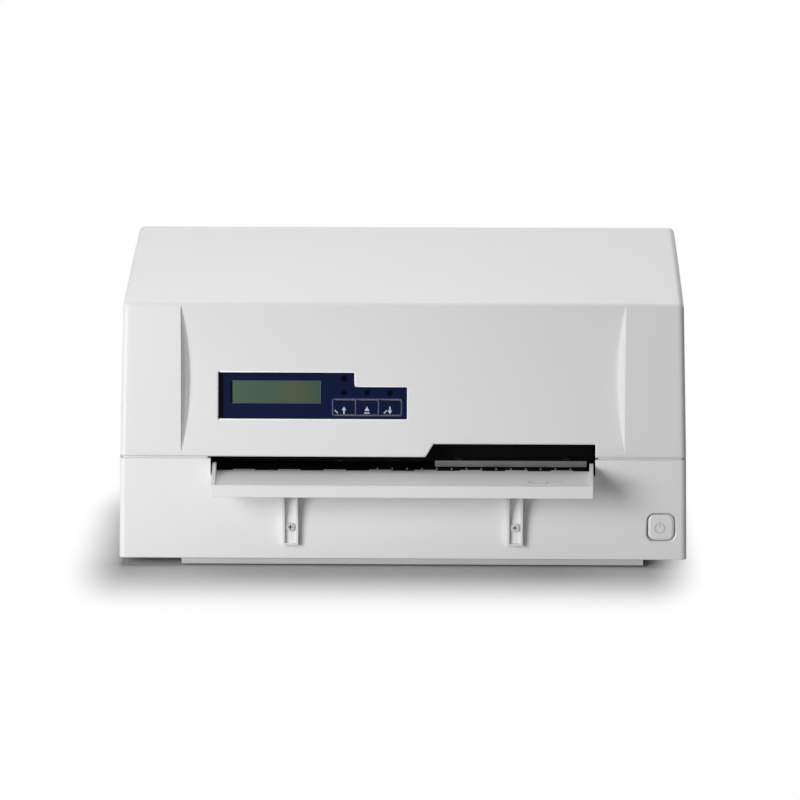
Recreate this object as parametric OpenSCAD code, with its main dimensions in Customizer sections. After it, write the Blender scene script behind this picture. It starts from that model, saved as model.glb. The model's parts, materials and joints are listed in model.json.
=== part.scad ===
// Flatbed dot matrix document printer: a hinged cover over a lower housing, a front table,
// and inside a sheet steel chassis with feed rollers, a gear train, a print carriage on a
// rod, a ribbon cassette, a power supply and a main board.
// Millimetres. +Z is up, the front faces -Y and X runs along the print line.
// The origin is the middle of the footprint, on the surface that the feet stand on.

/* [Housing] */
// Width of the housing at its foot
body_w = 384; // [350:1:410]
// Depth of the housing, without the front table
body_d = 244; // [242:1:270]
// Height of the ridge above the desk
body_h = 203; // [196:1:220]
// Height of the underside of the housing
housing_z = 5.6; // [5:0.2:8]
// Height of the parting line between cover and housing
seam_z = 74.8; // [74:0.2:77]
// Gap at the parting line
seam_gap = 1.4; // [1:0.1:2]
// Wall thickness of the mouldings
wall = 2.8; // [2.4:0.1:3.2]
// Thickness of the housing's tongue behind the cover's rim
tongue_t = 1; // [0.8:0.1:1.2]
// Radius of the outer edges
edge_r = 4; // [3.5:0.1:5]
// Draft of each side from the foot to the parting line
side_draft = 1; // [0.5:0.1:2]
// Draft of the front from the foot to the parting line
front_draft = 2; // [1:0.1:3]

/* [Cover] */
// Height of the front edge of the roof
brow_z = 178; // [172:0.2:182]
// Set back of the brow behind the foot of the front
brow_d = 16; // [13:0.5:19]
// Set back of the ridge behind the foot of the front
ridge_d = 177; // [160:1:190]
// Crown of the roof above its chord
roof_crown = 1.6; // [0.5:0.1:4]
// Height of the rear shoulder, where the back slope starts
shoulder_z = 135; // [120:1:150]
// Draft of each side from the parting line to the ridge
cover_draft = 2.8; // [2:0.1:4]
// Distance of each hinge from the housing's side
hinge_in = 42; // [32:1:52]
// Width of each hinge ear
ear_w = 12; // [10:0.5:16]
// Length of each cover knuckle beside an ear
knuckle_w = 12; // [8:0.5:14]
// Radius of the hinge pins
hinge_pin_r = 1.5; // [1.2:0.1:1.8]

/* [Front recess] */
// Width of each pillar beside the hollow at its top
pillar_top = 42; // [39:0.2:46]
// Width of each pillar beside the hollow at its foot
pillar_foot = 42.6; // [40:0.2:47]
// Height of the lower edge of the hollow
recess_z0 = 78.8; // [78:0.2:82]
// Height of the upper edge of the hollow
recess_z1 = 177; // [165:0.5:178]
// Depth of the hollow at its middle
recess_depth = 6.8; // [5:0.2:8]
// Run of the hollow's slanted side walls at that depth
recess_run = 5.7; // [3:0.1:8]

/* [Control panel] */
// Width of the panel foil
panel_w = 127.2; // [122:0.2:130]
// Height of the panel foil
panel_h = 31.2; // [29:0.2:33]
// Distance of the foil from the pillar at its left
panel_in = 24.9; // [22:0.1:28]
// Distance of the foil's middle up the front, from the parting line
panel_v = 41.4; // [38:0.2:44]
// Width of the step cut from the foil's upper right corner
step_w = 35.6; // [30:0.2:38]
// Height of that step
step_h = 9.6; // [8:0.2:10]
// Thickness of the foil and its carrier
foil_t = 1.2; // [1:0.1:1.4]
// Depth of the foil's face below the hollow's surface
foil_sink = 0.4; // [0.2:0.1:0.6]
// Thickness of the pad that carries the foil
pad_t = 2.6; // [2.2:0.1:3]
// Width of the display window
lcd_w = 59.6; // [56:0.2:62]
// Height of the display window
lcd_h = 14.6; // [13:0.2:16]
// Display middle from the foil's left edge
lcd_in = 38.7; // [37:0.2:41]
// Display middle above the foil's middle
lcd_up = 2.5; // [1:0.1:3.5]
// Distance between neighbouring keys
key_pitch = 15.5; // [14.9:0.1:16]
// Width of a key cap
key_w = 14; // [13:0.1:14.4]
// Height of a key cap
key_h = 9.6; // [9:0.1:10.5]
// Last key's middle from the foil's right edge
key_in = 11.6; // [11:0.1:13]
// Keys' middle below the foil's middle
key_down = 7.7; // [7.2:0.1:8]
// Travel of a key
key_travel = 0.6; // [0.3:0.1:0.7]
// Radius of a status light
led_r = 1.2; // [1:0.1:1.5]
// Height of the lights' row above the foil's middle
led_up = 2.2; // [1.6:0.1:2.6]
// Height of the single upper light above the foil's middle
led_top_up = 11.8; // [10:0.1:12.5]
// Depth of the panel's circuit board behind the foil carrier
board_back = 8.6; // [8.2:0.1:10]

/* [Document slot] */
// Distance of the slot's ends from the housing's sides
slot_in = 62.3; // [60:0.1:65]
// Reach of the slot's mouth past its ends, at the parting line
mouth_step = 1.9; // [1:0.1:3]
// Height of the document path above the desk
doc_z = 66; // [65:0.2:67]
// Height of the notch in the cover's lower edge
notch_z = 84; // [81:0.1:85]
// Left end of the notch at its top
notch_x0 = 20.6; // [15:0.2:30]
// Run of the notch's slanted left end
notch_slant = 6; // [4:0.2:8]

/* [Front table] */
// Reach of the table in front of the housing
table_reach = 36; // [30:1:42]
// Gap between the table's fences and the slot's ends
table_play = 1.2; // [0.8:0.1:2.5]
// Taper of each side of the table from the housing to its lip
table_taper = 1; // [0:0.1:2]
// Thickness of the table
table_t = 2.5; // [2:0.1:3]
// Fall of the table from the housing to its lip
table_fall = 1.2; // [0.5:0.1:3]
// Height of the lip
lip_h = 8.3; // [7:0.1:11]
// Thickness of the fences
fence_t = 2.7; // [2:0.1:3.2]
// Height of the fences at the housing
fence_h = 5.4; // [4:0.1:6]
// Width of the tongues on the table's rear edge
tongue_w = 15; // [12:0.5:18]
// Distance between tongues
tongue_pitch = 30.7; // [28:0.1:33]
// Distance of each bracket from the middle
bracket_x = 75.8; // [65:0.2:90]
// Width of a bracket
bracket_w = 10.8; // [10:0.2:14]
// Height of the foot of a bracket
bracket_z = 16.6; // [15:0.2:20]
// Depth of a bracket's ribs at their foot
rib_foot = 4; // [3:0.2:6]
// Depth of a bracket's ribs under the table
rib_top = 30; // [20:0.5:32]
// Thickness of a bracket's ribs
rib_t = 1.8; // [1.2:0.1:2.2]
// Height of the bracket screws
bracket_screw_z = 28.1; // [25:0.1:32]
// Radius of the bracket screw heads
screw_head_r = 2.8; // [2.4:0.1:3]
// Radius of the screw shanks
screw_r = 1.5; // [1.2:0.1:1.6]

/* [Power button] */
// Width and height of the power button
button_w = 17.4; // [16:0.1:20]
// Corner radius of the button
button_r = 4.4; // [3:0.1:6]
// Width of the bevel round the button's face
button_bevel = 1.5; // [0.5:0.1:2]
// Button's middle from the housing's right side
button_in = 17.5; // [16:0.1:20]
// Height of the button's middle
button_z = 27.9; // [24:0.1:34]
// Gap round the button
button_gap = 0.9; // [0.6:0.1:1.2]
// Travel of the button
button_travel = 3; // [2:0.1:3.5]

/* [Base] */
// Base pan's left side from the housing's left side
pan_in_left = 42.2; // [40:0.1:43]
// Base pan's right side from the housing's right side
pan_in_right = 29.4; // [27:0.1:32]
// Set back of the base pan at front and rear
pan_back = 1.5; // [1:0.1:4]
// Lap of the housing's floor over the pan at front and rear
floor_lap = 8; // [6:0.5:12]
// Height of the pan's underside
pan_z = 1.3; // [1:0.1:2]
// Sheet thickness of the pan
pan_t = 1.2; // [1:0.1:1.5]
// Radius of the rubber feet
foot_r = 9; // [7:0.5:12]
// Distance of the feet from the pan's edges
foot_in = 18; // [14:1:30]

/* [Chassis] */
// Distance of the side frames' inner faces from the housing's sides
side_room = 46; // [45.5:0.1:46.5]
// Sheet thickness of the side frames
frame_t = 1.6; // [1.2:0.1:2]
// Set back of the frames' front edge
frame_d0 = 26; // [24:0.5:30]
// Depth of the side frames
frame_len = 188; // [186:1:200]
// Height of the frames' top
frame_top = 122; // [120:0.5:130]
// Width of the frames' feet
frame_foot = 9; // [8:0.5:10]
// Height of the shelf that carries the cassette
shelf_z = 96; // [95:0.5:98]

/* [Feed] */
// Set back of the front feed roller
feed_d = 42; // [41:0.5:43]
// Radius of the roller shafts
shaft_r = 4; // [3:0.1:4.5]
// Radius of the rubber tyres
tyre_r = 7; // [6:0.1:7.5]
// Length of each tyre
tyre_w = 18; // [10:1:24]
// Distance between tyres
tyre_pitch = 42; // [36:1:44]
// Number of tyres on a shaft
tyre_count = 6; // [2:1:6]
// Radius of the pinch shafts
pinch_shaft_r = 3; // [2.5:0.1:3.2]
// Radius of the pinch rollers
pinch_r = 6; // [5.5:0.1:6.5]
// Gap between feed and pinch rollers
paper_gap = 0.4; // [0.3:0.1:0.8]
// Module of the feed gears
gear_module = 1; // [1:0.01:1.02]
// Teeth of the roller gears and of the centre gear
roller_teeth = 30; // [30:4:30]
// Teeth of the idler gears
idler_teeth = 24; // [24:4:24]
// Teeth of the motor pinion
pinion_teeth = 12; // [12:4:12]
// Width of the gears
gear_w = 6; // [4:0.5:7]
// Radius of the gear studs
stud_r = 2.5; // [2:0.1:3]
// Radius of the feed motor
feed_motor_r = 17; // [14:0.5:17.5]
// Length of the feed motor
feed_motor_l = 38; // [30:1:45]

/* [Print line] */
// Width of the platen bar
platen_w = 10; // [8:0.5:11]
// Distance of the carriage rod behind the print line
rod_back = 30; // [29:0.5:31]
// Height of the rod above the document path
rod_up = 42; // [41:0.5:44]
// Radius of the carriage rod
rod_r = 5; // [4:0.1:5.5]
// Distance of the front rail before the print line
rail_front = 34; // [33:0.5:35]
// Thickness of the front rail
rail_t = 2; // [1.5:0.1:2.5]
// Width of the carriage
carriage_w = 36; // [34:0.5:37]
// Width of the print head
head_w = 28; // [24:0.5:29]
// Depth of the print head
head_l = 24; // [20:0.5:25]
// Height of the print head's top above the document path
head_up = 52; // [46:0.5:56]
// Height of the head's nose above the document path
nose_up = 2.2; // [2:0.1:3]
// Wall of the carriage bushes
bush_t = 1; // [0.8:0.1:1.4]

/* [Belt drive] */
// Height of the belt's lower edge above the document path
belt_up = 20; // [19:0.5:21]
// Width of the belt
belt_w = 6; // [5:0.5:6.5]
// Thickness of the belt
belt_t = 1.2; // [1:0.1:1.4]
// Radius of the belt pulleys
pulley_r = 6; // [5:0.1:6.4]
// Width of the carriage motor
motor_w = 36; // [30:1:36]
// Height of the carriage motor
motor_h = 38; // [30:1:44]
// Distance of the idler pulley outside the right frame
idler_out = 9.4; // [9:0.2:14]

/* [Ribbon] */
// Distance of each arm beside the cassette's body
arm_reach = 7.6; // [7:0.1:14]
// Depth of the cassette
cassette_l = 62; // [56:1:66]
// Height of the cassette
cassette_h = 24; // [20:0.5:26]
// Set back of the cassette behind the print line
cassette_back = 45; // [44.5:0.5:48]
// Width of the ribbon band
ribbon_w = 13; // [10:0.5:14]
// Thickness of the ribbon band
ribbon_t = 0.2; // [0.15:0.05:0.3]
// Height of the ribbon above the document path
ribbon_up = 1.6; // [1.5:0.05:1.8]
// Thickness of the cassette's arms
arm_t = 6; // [4:0.5:6.5]
// Gap between the arms and the side frames
arm_gap = 4.4; // [3.5:0.1:6]
// Radius of the winding knob
knob_r = 9; // [7:0.5:12]
// Distance of the winding knob from the cassette's right side
knob_in = 28; // [20:1:48]

/* [Electronics] */
// Width of the main board
main_board_w = 130; // [110:1:132]
// Depth of the main board
main_board_l = 98; // [80:1:100]
// Thickness of the circuit boards
pcb_t = 1.6; // [1.2:0.1:2]
// Height of the boards above the pan
pcb_up = 7; // [5:0.5:9]
// Width of the power supply
psu_w = 110; // [90:1:115]
// Depth of the power supply
psu_l = 66; // [50:1:68]
// Height of the power supply
psu_h = 38; // [30:1:42]
// Mains inlet's middle from the left side of the power supply
inlet_in = 36; // [25:1:60]
// Parallel socket's middle from the left side of the main board
parallel_in = 42; // [38:1:46]
// Serial socket's middle from the left side of the main board
serial_in = 100; // [96:1:106]

/* [Fits] */
// Radial play of a turning shaft
run_fit = 0.04; // [0.02:0.01:0.08]
// Gap beside a piece that moves
move_gap = 0.4; // [0.3:0.05:0.6]
// Gap round a piece that is set into another
set_gap = 0.3; // [0.2:0.05:0.5]

/* [Hidden] */

$fn = 48;
eps = 0.01;
hull_fn = 32;

// Frame of the housing
front_y = (table_reach - body_d) / 2;
rear_y = front_y + body_d;
lean = atan((brow_d - front_draft) / (brow_z - seam_z));
seam_top = seam_z + seam_gap / 2;
seam_low = seam_z - seam_gap / 2;
seam_half = body_w / 2 - side_draft;
ridge_half = seam_half - cover_draft;
floor_z = housing_z + wall;
past = 12;
tongue_up = 2;
tongue_end = 30;
slot_w = body_w - 2 * slot_in;
table_w = slot_w - 2 * table_play;
notch_x1 = slot_w / 2;
pan_left = body_w / 2 - pan_in_left;
pan_right = body_w / 2 - pan_in_right;

// Document path
feed_z = doc_z - tyre_r;
pinch_z = doc_z + paper_gap + pinch_r;
mesh_d = gear_module * (roller_teeth + idler_teeth) / 2;
print_d = feed_d + 2 * mesh_d;
exit_d = feed_d + 4 * mesh_d;
flap_d = feed_d + tyre_r + 7;
pinion_z = feed_z - gear_module * (roller_teeth + pinion_teeth) / 2;
guide_t = 2;
guide_top = doc_z - 0.6;
upper_gap = 2;
slot_foot = guide_top - table_t - set_gap;
rod_d = print_d + rod_back;
rod_z = doc_z + rod_up;
rail_d = print_d - rail_front;
belt_z = doc_z + belt_up;
belt_in = pulley_r + 0.3;

// Chassis
frame_in = body_w / 2 - side_room;
frame_out = frame_in + frame_t;
pan_top = pan_z + pan_t;
bush_flange = 1.2;
gear_x = frame_out + bush_flange + 0.6;
motor_x = -(frame_out + frame_t + 0.2 + motor_w / 2);
idler_x = frame_out + idler_out;
motor_top = belt_z - 4;
flange_h = 22;
foot_play = 1.5;
screw_out = 5;
screw_spots = [for (x = [-pan_left - screw_out, pan_right + screw_out], t = [0.26, 0.8])
    [x, front_y + t * body_d]];
foot_spots = [for (x = [-pan_left + foot_in, pan_right - foot_in],
                   y = [front_y + pan_back + foot_in, rear_y - pan_back - foot_in]) [x, y]];
bush_r = shaft_r + 2;
pinch_bush_r = pinch_shaft_r + 1.5;
flap_pin_r = 2;
motor_shaft_r = 2;
idler_pin_r = 1.5;
tyre_spots = [for (i = [0 : tyre_count - 1]) (i - (tyre_count - 1) / 2) * tyre_pitch];
stud_spots = [print_d - mesh_d, print_d, print_d + mesh_d];

// Table, mouth and guides
table_front = front_y - table_reach;
table_rear = front_y + front_draft + wall + 0.4;
lip_top = guide_top - table_fall;
tongue_l = 3;
leg_pitch = 60;
upper_d0 = 24;
mouth_h = 14;
bar_d = 13;
bar_h = 4.2;
bar_end = 5.6;

// Carriage, cassette and belt
rail_top = rod_z - 10.4;
rail_h = 14;
plate_z = rail_top + 0.4;
plate_t = 3;
ring_r = rod_r + bush_t + 3;
strand_d = rod_d - belt_in - belt_t;
arm_x0 = frame_in - arm_gap - arm_t;
arm_low = rod_z + rod_r + 1.4;
cassette_w = 2 * (arm_x0 - arm_reach);
cassette_d0 = print_d + cassette_back;
cassette_top = shelf_z + cassette_h;
knob_x = cassette_w / 2 - knob_in;
knob_depth = 11;

// Rear wall: mains inlet, sockets on the main board, and vent slots
board_x0 = frame_in - main_board_w - 2;
psu_x0 = -frame_in + frame_foot + 1;
inlet_x = psu_x0 + inlet_in;
parallel_x = board_x0 + parallel_in;
serial_x = board_x0 + serial_in;
inlet_z = 26;
inlet_w = 27;
inlet_h = 20;
inlet_l = 24;
socket_z = pan_top + pcb_up + pcb_t;
parallel_w = 62;
serial_w = 31;
socket_h = 13;
vent_count = 11;
vent_pitch = 5;
vent_x = psu_x0 + 76;
vent_z = 36;
vent_h = 28;

// Boards
board_z = pan_top + pcb_up;
board_rear = rear_y - 20;
psu_y1 = rear_y - 30;
post_in = 6;
chips = [[28, 60, 30, 22], [28, 28, 36, 12], [74, 30, 22, 12], [74, 52, 22, 12]];
sink_x = 98;
sink_pitch = 4;
sink_y0 = 24;
sink_y1 = 70;

// Power button
button_x = body_w / 2 - button_in;
button_y = front_y + front_draft * (button_z - housing_z) / (seam_z - housing_z);
switch_y = button_y + 16;
switch_w = 18;
switch_l = 16;
switch_h = 14;

// Hinge
hinge_x = body_w / 2 - hinge_in;
hinge_y = rear_y - edge_r;
hinge_z = seam_top + edge_r;

// Hollow of the front, as lengths up the face
roof_steps = 6;
recess_top_x = body_w / 2 - pillar_top;
recess_foot_x = body_w / 2 - pillar_foot;
recess_v0 = (recess_z0 - seam_z) / cos(lean);
recess_v1 = (recess_z1 - seam_z) / cos(lean);
recess_mid = (recess_v0 + recess_v1) / 2;
recess_half = (recess_v1 - recess_v0) / 2;
recess_r = (pow(recess_half, 2) + pow(recess_depth, 2)) / (2 * recess_depth);
recess_slope = recess_run / recess_depth;

// Control panel; its own frame has X to the right, Y up the panel and Z out of its face
panel_x = -recess_foot_x + panel_in + panel_w / 2;
panel_sag = recess_r - sqrt(pow(recess_r, 2) - pow(panel_v - recess_mid, 2));
panel_depth = recess_depth - panel_sag;
panel_lean = lean + asin((recess_mid - panel_v) / recess_r);
foil_face = -foil_sink;
foil_back = foil_face - foil_t;
pad_back = foil_back - pad_t;
board_face = foil_back - board_back;
lcd_x = lcd_in - panel_w / 2;
key_spots = [for (i = [-2 : 0]) panel_w / 2 - key_in + i * key_pitch];
led_spots = concat([[key_spots[0], led_top_up]], [for (x = key_spots) [x, led_up]]);
key_well = key_travel + 0.5;
plunger_foot = board_face + 3.2 + key_travel + 0.4;
boss_spots = [for (sx = [-1, 1], sy = [-1, 1])
    [sx * (panel_w / 2 - 4), sy * (panel_h / 2 + 3)]];

// Colours
shell_white = "#E6E4E1";
shell_grey = "#D9D8D5";
foil_navy = "#0F1A3C";
steel = "#B9BCC0";
black = "#222326";
rubber = "#1B1B1C";
nylon = "#EDEAE0";
board_green = "#1E5A3A";
copper = "#B87A4B";

// ---------- helpers ----------

function fy(d) = front_y + d;

// A point of the front face: v up the face from the parting line, d behind the face
function face_y(v, d) = fy(front_draft) + v * sin(lean) + d * cos(lean);
function face_z(v, d) = seam_z + v * cos(lean) - d * sin(lean);

// A box between three ranges
module slab(x, y, z)
    translate([x[0], y[0], z[0]])
        cube([x[1] - x[0], y[1] - y[0], z[1] - z[0]]);

// A YZ outline carried along X
module prism_x(x)
    translate([x[0], 0, 0]) rotate([90, 0, 90]) linear_extrude(x[1] - x[0]) children();

// An XZ outline carried along Y
module prism_y(y)
    translate([0, y[1], 0]) rotate([90, 0, 0]) linear_extrude(y[1] - y[0]) children();

module rod_along_x(x, y, z, r)
    translate([x[0], y, z]) rotate([0, 90, 0]) cylinder(h = x[1] - x[0], r = r);

module rod_along_y(x, y, z, r)
    translate([x, y[1], z]) rotate([90, 0, 0]) cylinder(h = y[1] - y[0], r = r);

module rod_along_z(x, y, z, r)
    translate([x, y, z[0]]) cylinder(h = z[1] - z[0], r = r);

// A rectangle with round corners, about its middle
module round_rect(w, h, r) {
    square([w - 2 * r, h], center = true);
    square([w, h - 2 * r], center = true);
    for (sx = [-1, 1], sy = [-1, 1])
        translate([sx * (w / 2 - r), sy * (h / 2 - r)]) circle(r);
}

// A pan head screw that points along -Z, its seat at the origin
module screw(head, shank, length) {
    difference() {
        cylinder(h = 0.7 * head, r = head);
        for (a = [0, 90]) rotate(a)
            translate([-0.6 * head, -0.12 * head, 0.35 * head])
                cube([1.2 * head, 0.24 * head, head]);
    }
    translate([0, 0, -length]) cylinder(h = length + eps, r = shank);
}

// Involute spur gear outline with a tooth on the X axis
function inv_deg(a) = tan(a) * 180 / PI - a;
function flank_deg(r, teeth, rb) =
    90 / teeth - 0.045 * 180 / PI * 2 / (teeth * gear_module)
    + inv_deg(20) - inv_deg(acos(min(1, rb / r)));
function gear_points(teeth) =
    let (rp = teeth * gear_module / 2, rb = rp * cos(20),
         radii = [rp - 1.2 * gear_module, max(rb, rp - 0.7 * gear_module), rp,
                  rp + 0.5 * gear_module, rp + 0.95 * gear_module])
    [for (t = [0 : teeth - 1])
        let (mid = t * 360 / teeth)
        each concat(
            [for (r = radii) let (a = mid - flank_deg(r, teeth, rb)) r * [cos(a), sin(a)]],
            [for (i = [len(radii) - 1 : -1 : 0])
                let (r = radii[i], a = mid + flank_deg(r, teeth, rb)) r * [cos(a), sin(a)]])];

// A gear at the right end of a shaft, with its axis along X
module gear(teeth, d, z, bore, phase) {
    translate([gear_x, fy(d), z]) rotate([90, 0, 90]) rotate(phase)
        difference() {
            linear_extrude(gear_w) polygon(gear_points(teeth));
            translate([0, 0, -1]) cylinder(h = gear_w + 2, r = bore);
            rim_r = teeth * gear_module / 2 - 3.2 * gear_module;
            if (rim_r > bore + 5)
                translate([0, 0, gear_w - 1.5]) difference() {
                    cylinder(h = 3, r = rim_r);
                    translate([0, 0, -1]) cylinder(h = 5, r = bore + 2.5);
                }
        }
}

// ---------- housing ----------

// Half width and front of the housing at a height
function side_at(z) = body_w / 2 - side_draft * (z - housing_z) / (seam_z - housing_z);
function front_at(z) = front_y + front_draft * (z - housing_z) / (seam_z - housing_z);

// The housing's sharp block, inset all round; it runs on past its foot and the parting line
module lower_block(inset) {
    low = housing_z - past;
    high = seam_z + past;
    intersection() {
        prism_y([front_y - 1, rear_y + 1]) offset(delta = -inset)
            polygon([[-side_at(low), low], [side_at(low), low],
                     [side_at(high), high], [-side_at(high), high]]);
        prism_x([-body_w / 2 - 1, body_w / 2 + 1]) offset(delta = -inset)
            polygon([[front_at(low), low], [rear_y, low], [rear_y, high],
                     [front_at(high), high]]);
    }
}

// Plan of the rim at the parting line, up to the hinges, inset all round
module rim_plan(inset)
    intersection() {
        depth = rear_y - fy(front_draft);
        translate([0, rear_y - depth / 2])
            round_rect(2 * (seam_half - inset), depth - 2 * inset, edge_r - inset);
        translate([-body_w / 2, front_y]) square([body_w, hinge_y - tongue_end - front_y]);
    }

module pan_block(play, z)
    slab([-pan_left - play, pan_right + play],
         [fy(pan_back) - play, rear_y - pan_back + play], z);

// Openings of the rear wall, in the XZ plane
module rear_windows(play) {
    translate([inlet_x, inlet_z]) square([inlet_w + 2 * play, inlet_h + 2 * play], center = true);
    translate([parallel_x, socket_z + socket_h / 2])
        square([parallel_w + 2 * play, socket_h + 2 * play], center = true);
    translate([serial_x, socket_z + socket_h / 2])
        square([serial_w + 2 * play, socket_h + 2 * play], center = true);
}

// Outline of the power button, in the XZ plane
module button_outline(grow)
    translate([button_x, button_z])
        round_rect(button_w + 2 * grow, button_w + 2 * grow, button_r + grow);

module lower_housing() color(shell_grey) {
    boss_r = 3.6;
    boss_l = 8;
    rear_in = rear_y - wall - 1;
    hole_edge = 0.7;
    difference() {
        union() {
            difference() {
                intersection() {
                    minkowski() {
                        lower_block(edge_r);
                        sphere(edge_r, $fn = hull_fn);
                    }
                    slab([-body_w, body_w], [-body_d, body_d], [housing_z, seam_low]);
                }
                difference() {
                    lower_block(wall);
                    slab([-body_w, body_w], [-body_d, body_d], [0, floor_z]);
                }
            }
            // tongue behind the rim of the cover
            translate([0, 0, seam_low - 1]) linear_extrude(1 + seam_gap + tongue_up)
                difference() {
                    rim_plan(wall - tongue_t);
                    rim_plan(wall);
                }
            // screw bosses behind the table's brackets
            for (s = [-1, 1])
                rod_along_y(s * bracket_x, [fy(wall - 0.5), fy(wall + boss_l)],
                            bracket_screw_z, boss_r);
            // hinge ears rise from the rear wall
            for (s = [-1, 1]) {
                rod_along_x([s * hinge_x - ear_w / 2, s * hinge_x + ear_w / 2],
                            hinge_y, hinge_z, edge_r - 0.1);
                slab([s * hinge_x - ear_w / 2, s * hinge_x + ear_w / 2],
                     [hinge_y - edge_r + 0.1, rear_y - 0.1], [seam_low - 14, hinge_z]);
            }
        }
        // the chassis stands on the pan, through the floor
        slab([-frame_out - set_gap, frame_out + frame_foot + foot_play],
             [fy(pan_back + floor_lap), rear_y - pan_back - floor_lap], [0, floor_z + 1]);
        // document slots, front and rear, and the mouth at the parting line
        slab([-slot_w / 2, slot_w / 2], [front_y - 1, fy(front_draft + wall + 1)],
             [slot_foot, seam_z]);
        slab([-slot_w / 2 - mouth_step, slot_w / 2 + mouth_step],
             [front_y - 1, fy(front_draft + wall + 1)], [seam_low, seam_z + past]);
        slab([-slot_w / 2, slot_w / 2], [rear_in, rear_y + 1], [slot_foot, seam_z]);
        // power button's hole and its bevelled edge
        prism_y([front_y - 1, fy(front_draft + wall + 1)]) button_outline(button_gap);
        hull() {
            prism_y([button_y - hole_edge, button_y]) button_outline(button_gap + hole_edge);
            prism_y([button_y, button_y + hole_edge]) button_outline(button_gap);
        }
        // table screws
        for (s = [-1, 1])
            rod_along_y(s * bracket_x, [front_y - 1, fy(wall + boss_l + 1)],
                        bracket_screw_z, screw_r);
        // chassis screws
        for (p = screw_spots)
            rod_along_z(p[0], p[1], [0, floor_z + 1], screw_r);
        // hinge pins
        for (s = [-1, 1])
            rod_along_x([s * hinge_x - ear_w, s * hinge_x + ear_w],
                        hinge_y, hinge_z, hinge_pin_r);
        // sockets and vent
        prism_y([rear_in, rear_y + 1]) {
            rear_windows(set_gap);
            for (i = [0 : vent_count - 1])
                translate([vent_x + i * vent_pitch, vent_z]) round_rect(2, vent_h, 1 - eps);
        }
    }
}

// Sheet steel pan whose rim butts against the housing's floor
module base_pan() color(shell_grey) {
    tab = 10;
    tab_w = 20;
    difference() {
        union() {
            difference() {
                pan_block(0, [pan_z, housing_z]);
                pan_block(-pan_t, [pan_top, housing_z + 1]);
            }
            for (p = screw_spots) {
                x = p[0] < 0 ? [-pan_left - tab, -pan_left + pan_t]
                             : [pan_right - pan_t, pan_right + tab];
                slab(x, [p[1] - tab_w / 2, p[1] + tab_w / 2], [housing_z - pan_t, housing_z]);
            }
        }
        for (p = screw_spots) rod_along_z(p[0], p[1], [pan_z, housing_z + 1], screw_r);
        for (p = foot_spots) rod_along_z(p[0], p[1], [0, pan_top + 1], foot_r / 3);
    }
}

module rubber_feet() color(rubber)
    for (p = foot_spots) {
        rod_along_z(p[0], p[1], [0, pan_z], foot_r);
        rod_along_z(p[0], p[1], [pan_z - eps, pan_top + 0.8], foot_r / 3);
    }

module housing_screws() color(steel)
    for (p = screw_spots)
        translate([p[0], p[1], housing_z - pan_t]) rotate([180, 0, 0])
            screw(screw_head_r, screw_r, pan_t + wall + 2);

// ---------- front table ----------

// Plan of the table; its sides draw in by their taper, less an inset
module table_plan(inset)
    polygon([[table_w / 2 - inset, table_rear], [-table_w / 2 + inset, table_rear],
             [-table_w / 2 + table_taper + inset, table_front],
             [table_w / 2 - table_taper - inset, table_front]]);

module table_side(top_rear, top_front, foot_rear, foot_front)
    polygon([[table_front, foot_front], [table_rear, foot_rear],
             [table_rear, top_rear], [table_front, top_front]]);

module bracket_rib() {
    reach = rib_top - rib_foot;
    rise = lip_top - table_t - bracket_z;
    // the front edge is a concave quarter of an ellipse-like sweep
    steps = 10;
    polygon(concat(
        [[front_y, bracket_z], [front_y, slot_foot - 1], [front_y - rib_top, slot_foot - 1]],
        [for (i = [0 : steps])
            let (a = 90 * i / steps)
            [front_y - rib_foot - reach * pow(1 - sin(a), 1.3),
             bracket_z + 2 + (rise - 4) * cos(a)]],
        [[front_y - rib_foot, bracket_z]]));
}

module front_table() color(shell_grey) {
    tongue_n = floor((table_w / 2 - tongue_w) / tongue_pitch);
    difference() {
        union() {
            intersection() {
                union() {
                    // sloping top
                    prism_x([-table_w / 2, table_w / 2])
                        table_side(guide_top, lip_top, guide_top - table_t, lip_top - table_t);
                    // lip
                    slab([-table_w / 2, table_w / 2], [table_front, table_front + table_t],
                         [lip_top - lip_h, lip_top - 0.2]);
                    // fences fall to the lip
                    difference() {
                        prism_x([-table_w / 2, table_w / 2])
                            polygon([[table_front, lip_top - lip_h],
                                     [front_y - 1, guide_top - table_t],
                                     [table_rear, guide_top - table_t],
                                     [table_rear, guide_top + fence_h],
                                     [table_front, lip_top]]);
                        linear_extrude(body_h) table_plan(fence_t);
                    }
                }
                linear_extrude(body_h) table_plan(0);
            }
            // tongues on the rear edge
            for (i = [-tongue_n - 1 : tongue_n])
                slab([(i + 0.5) * tongue_pitch - tongue_w / 2,
                      (i + 0.5) * tongue_pitch + tongue_w / 2],
                     [table_rear - eps, table_rear + tongue_l],
                     [guide_top - table_t, guide_top]);
            // brackets: two ribs, a back plate and a foot
            for (s = [-1, 1]) translate([s * bracket_x, 0, 0]) {
                for (r = [-1, 1])
                    prism_x(r > 0 ? [bracket_w / 2 - rib_t, bracket_w / 2]
                                  : [-bracket_w / 2, -bracket_w / 2 + rib_t])
                        bracket_rib();
                slab([-bracket_w / 2, bracket_w / 2], [front_y - 2, front_y],
                     [bracket_z, slot_foot - 0.5]);
                slab([-bracket_w / 2, bracket_w / 2], [front_y - rib_foot, front_y],
                     [bracket_z - 1, bracket_z + 0.4]);
            }
        }
        for (s = [-1, 1])
            rod_along_y(s * bracket_x, [front_y - 9, front_y + 1], bracket_screw_z, screw_r);
    }
}

module table_screws() color(steel)
    for (s = [-1, 1])
        translate([s * bracket_x, front_y - 2, bracket_screw_z]) rotate([90, 0, 0])
            screw(screw_head_r, screw_r, wall + 7);

// ---------- chassis ----------

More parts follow.
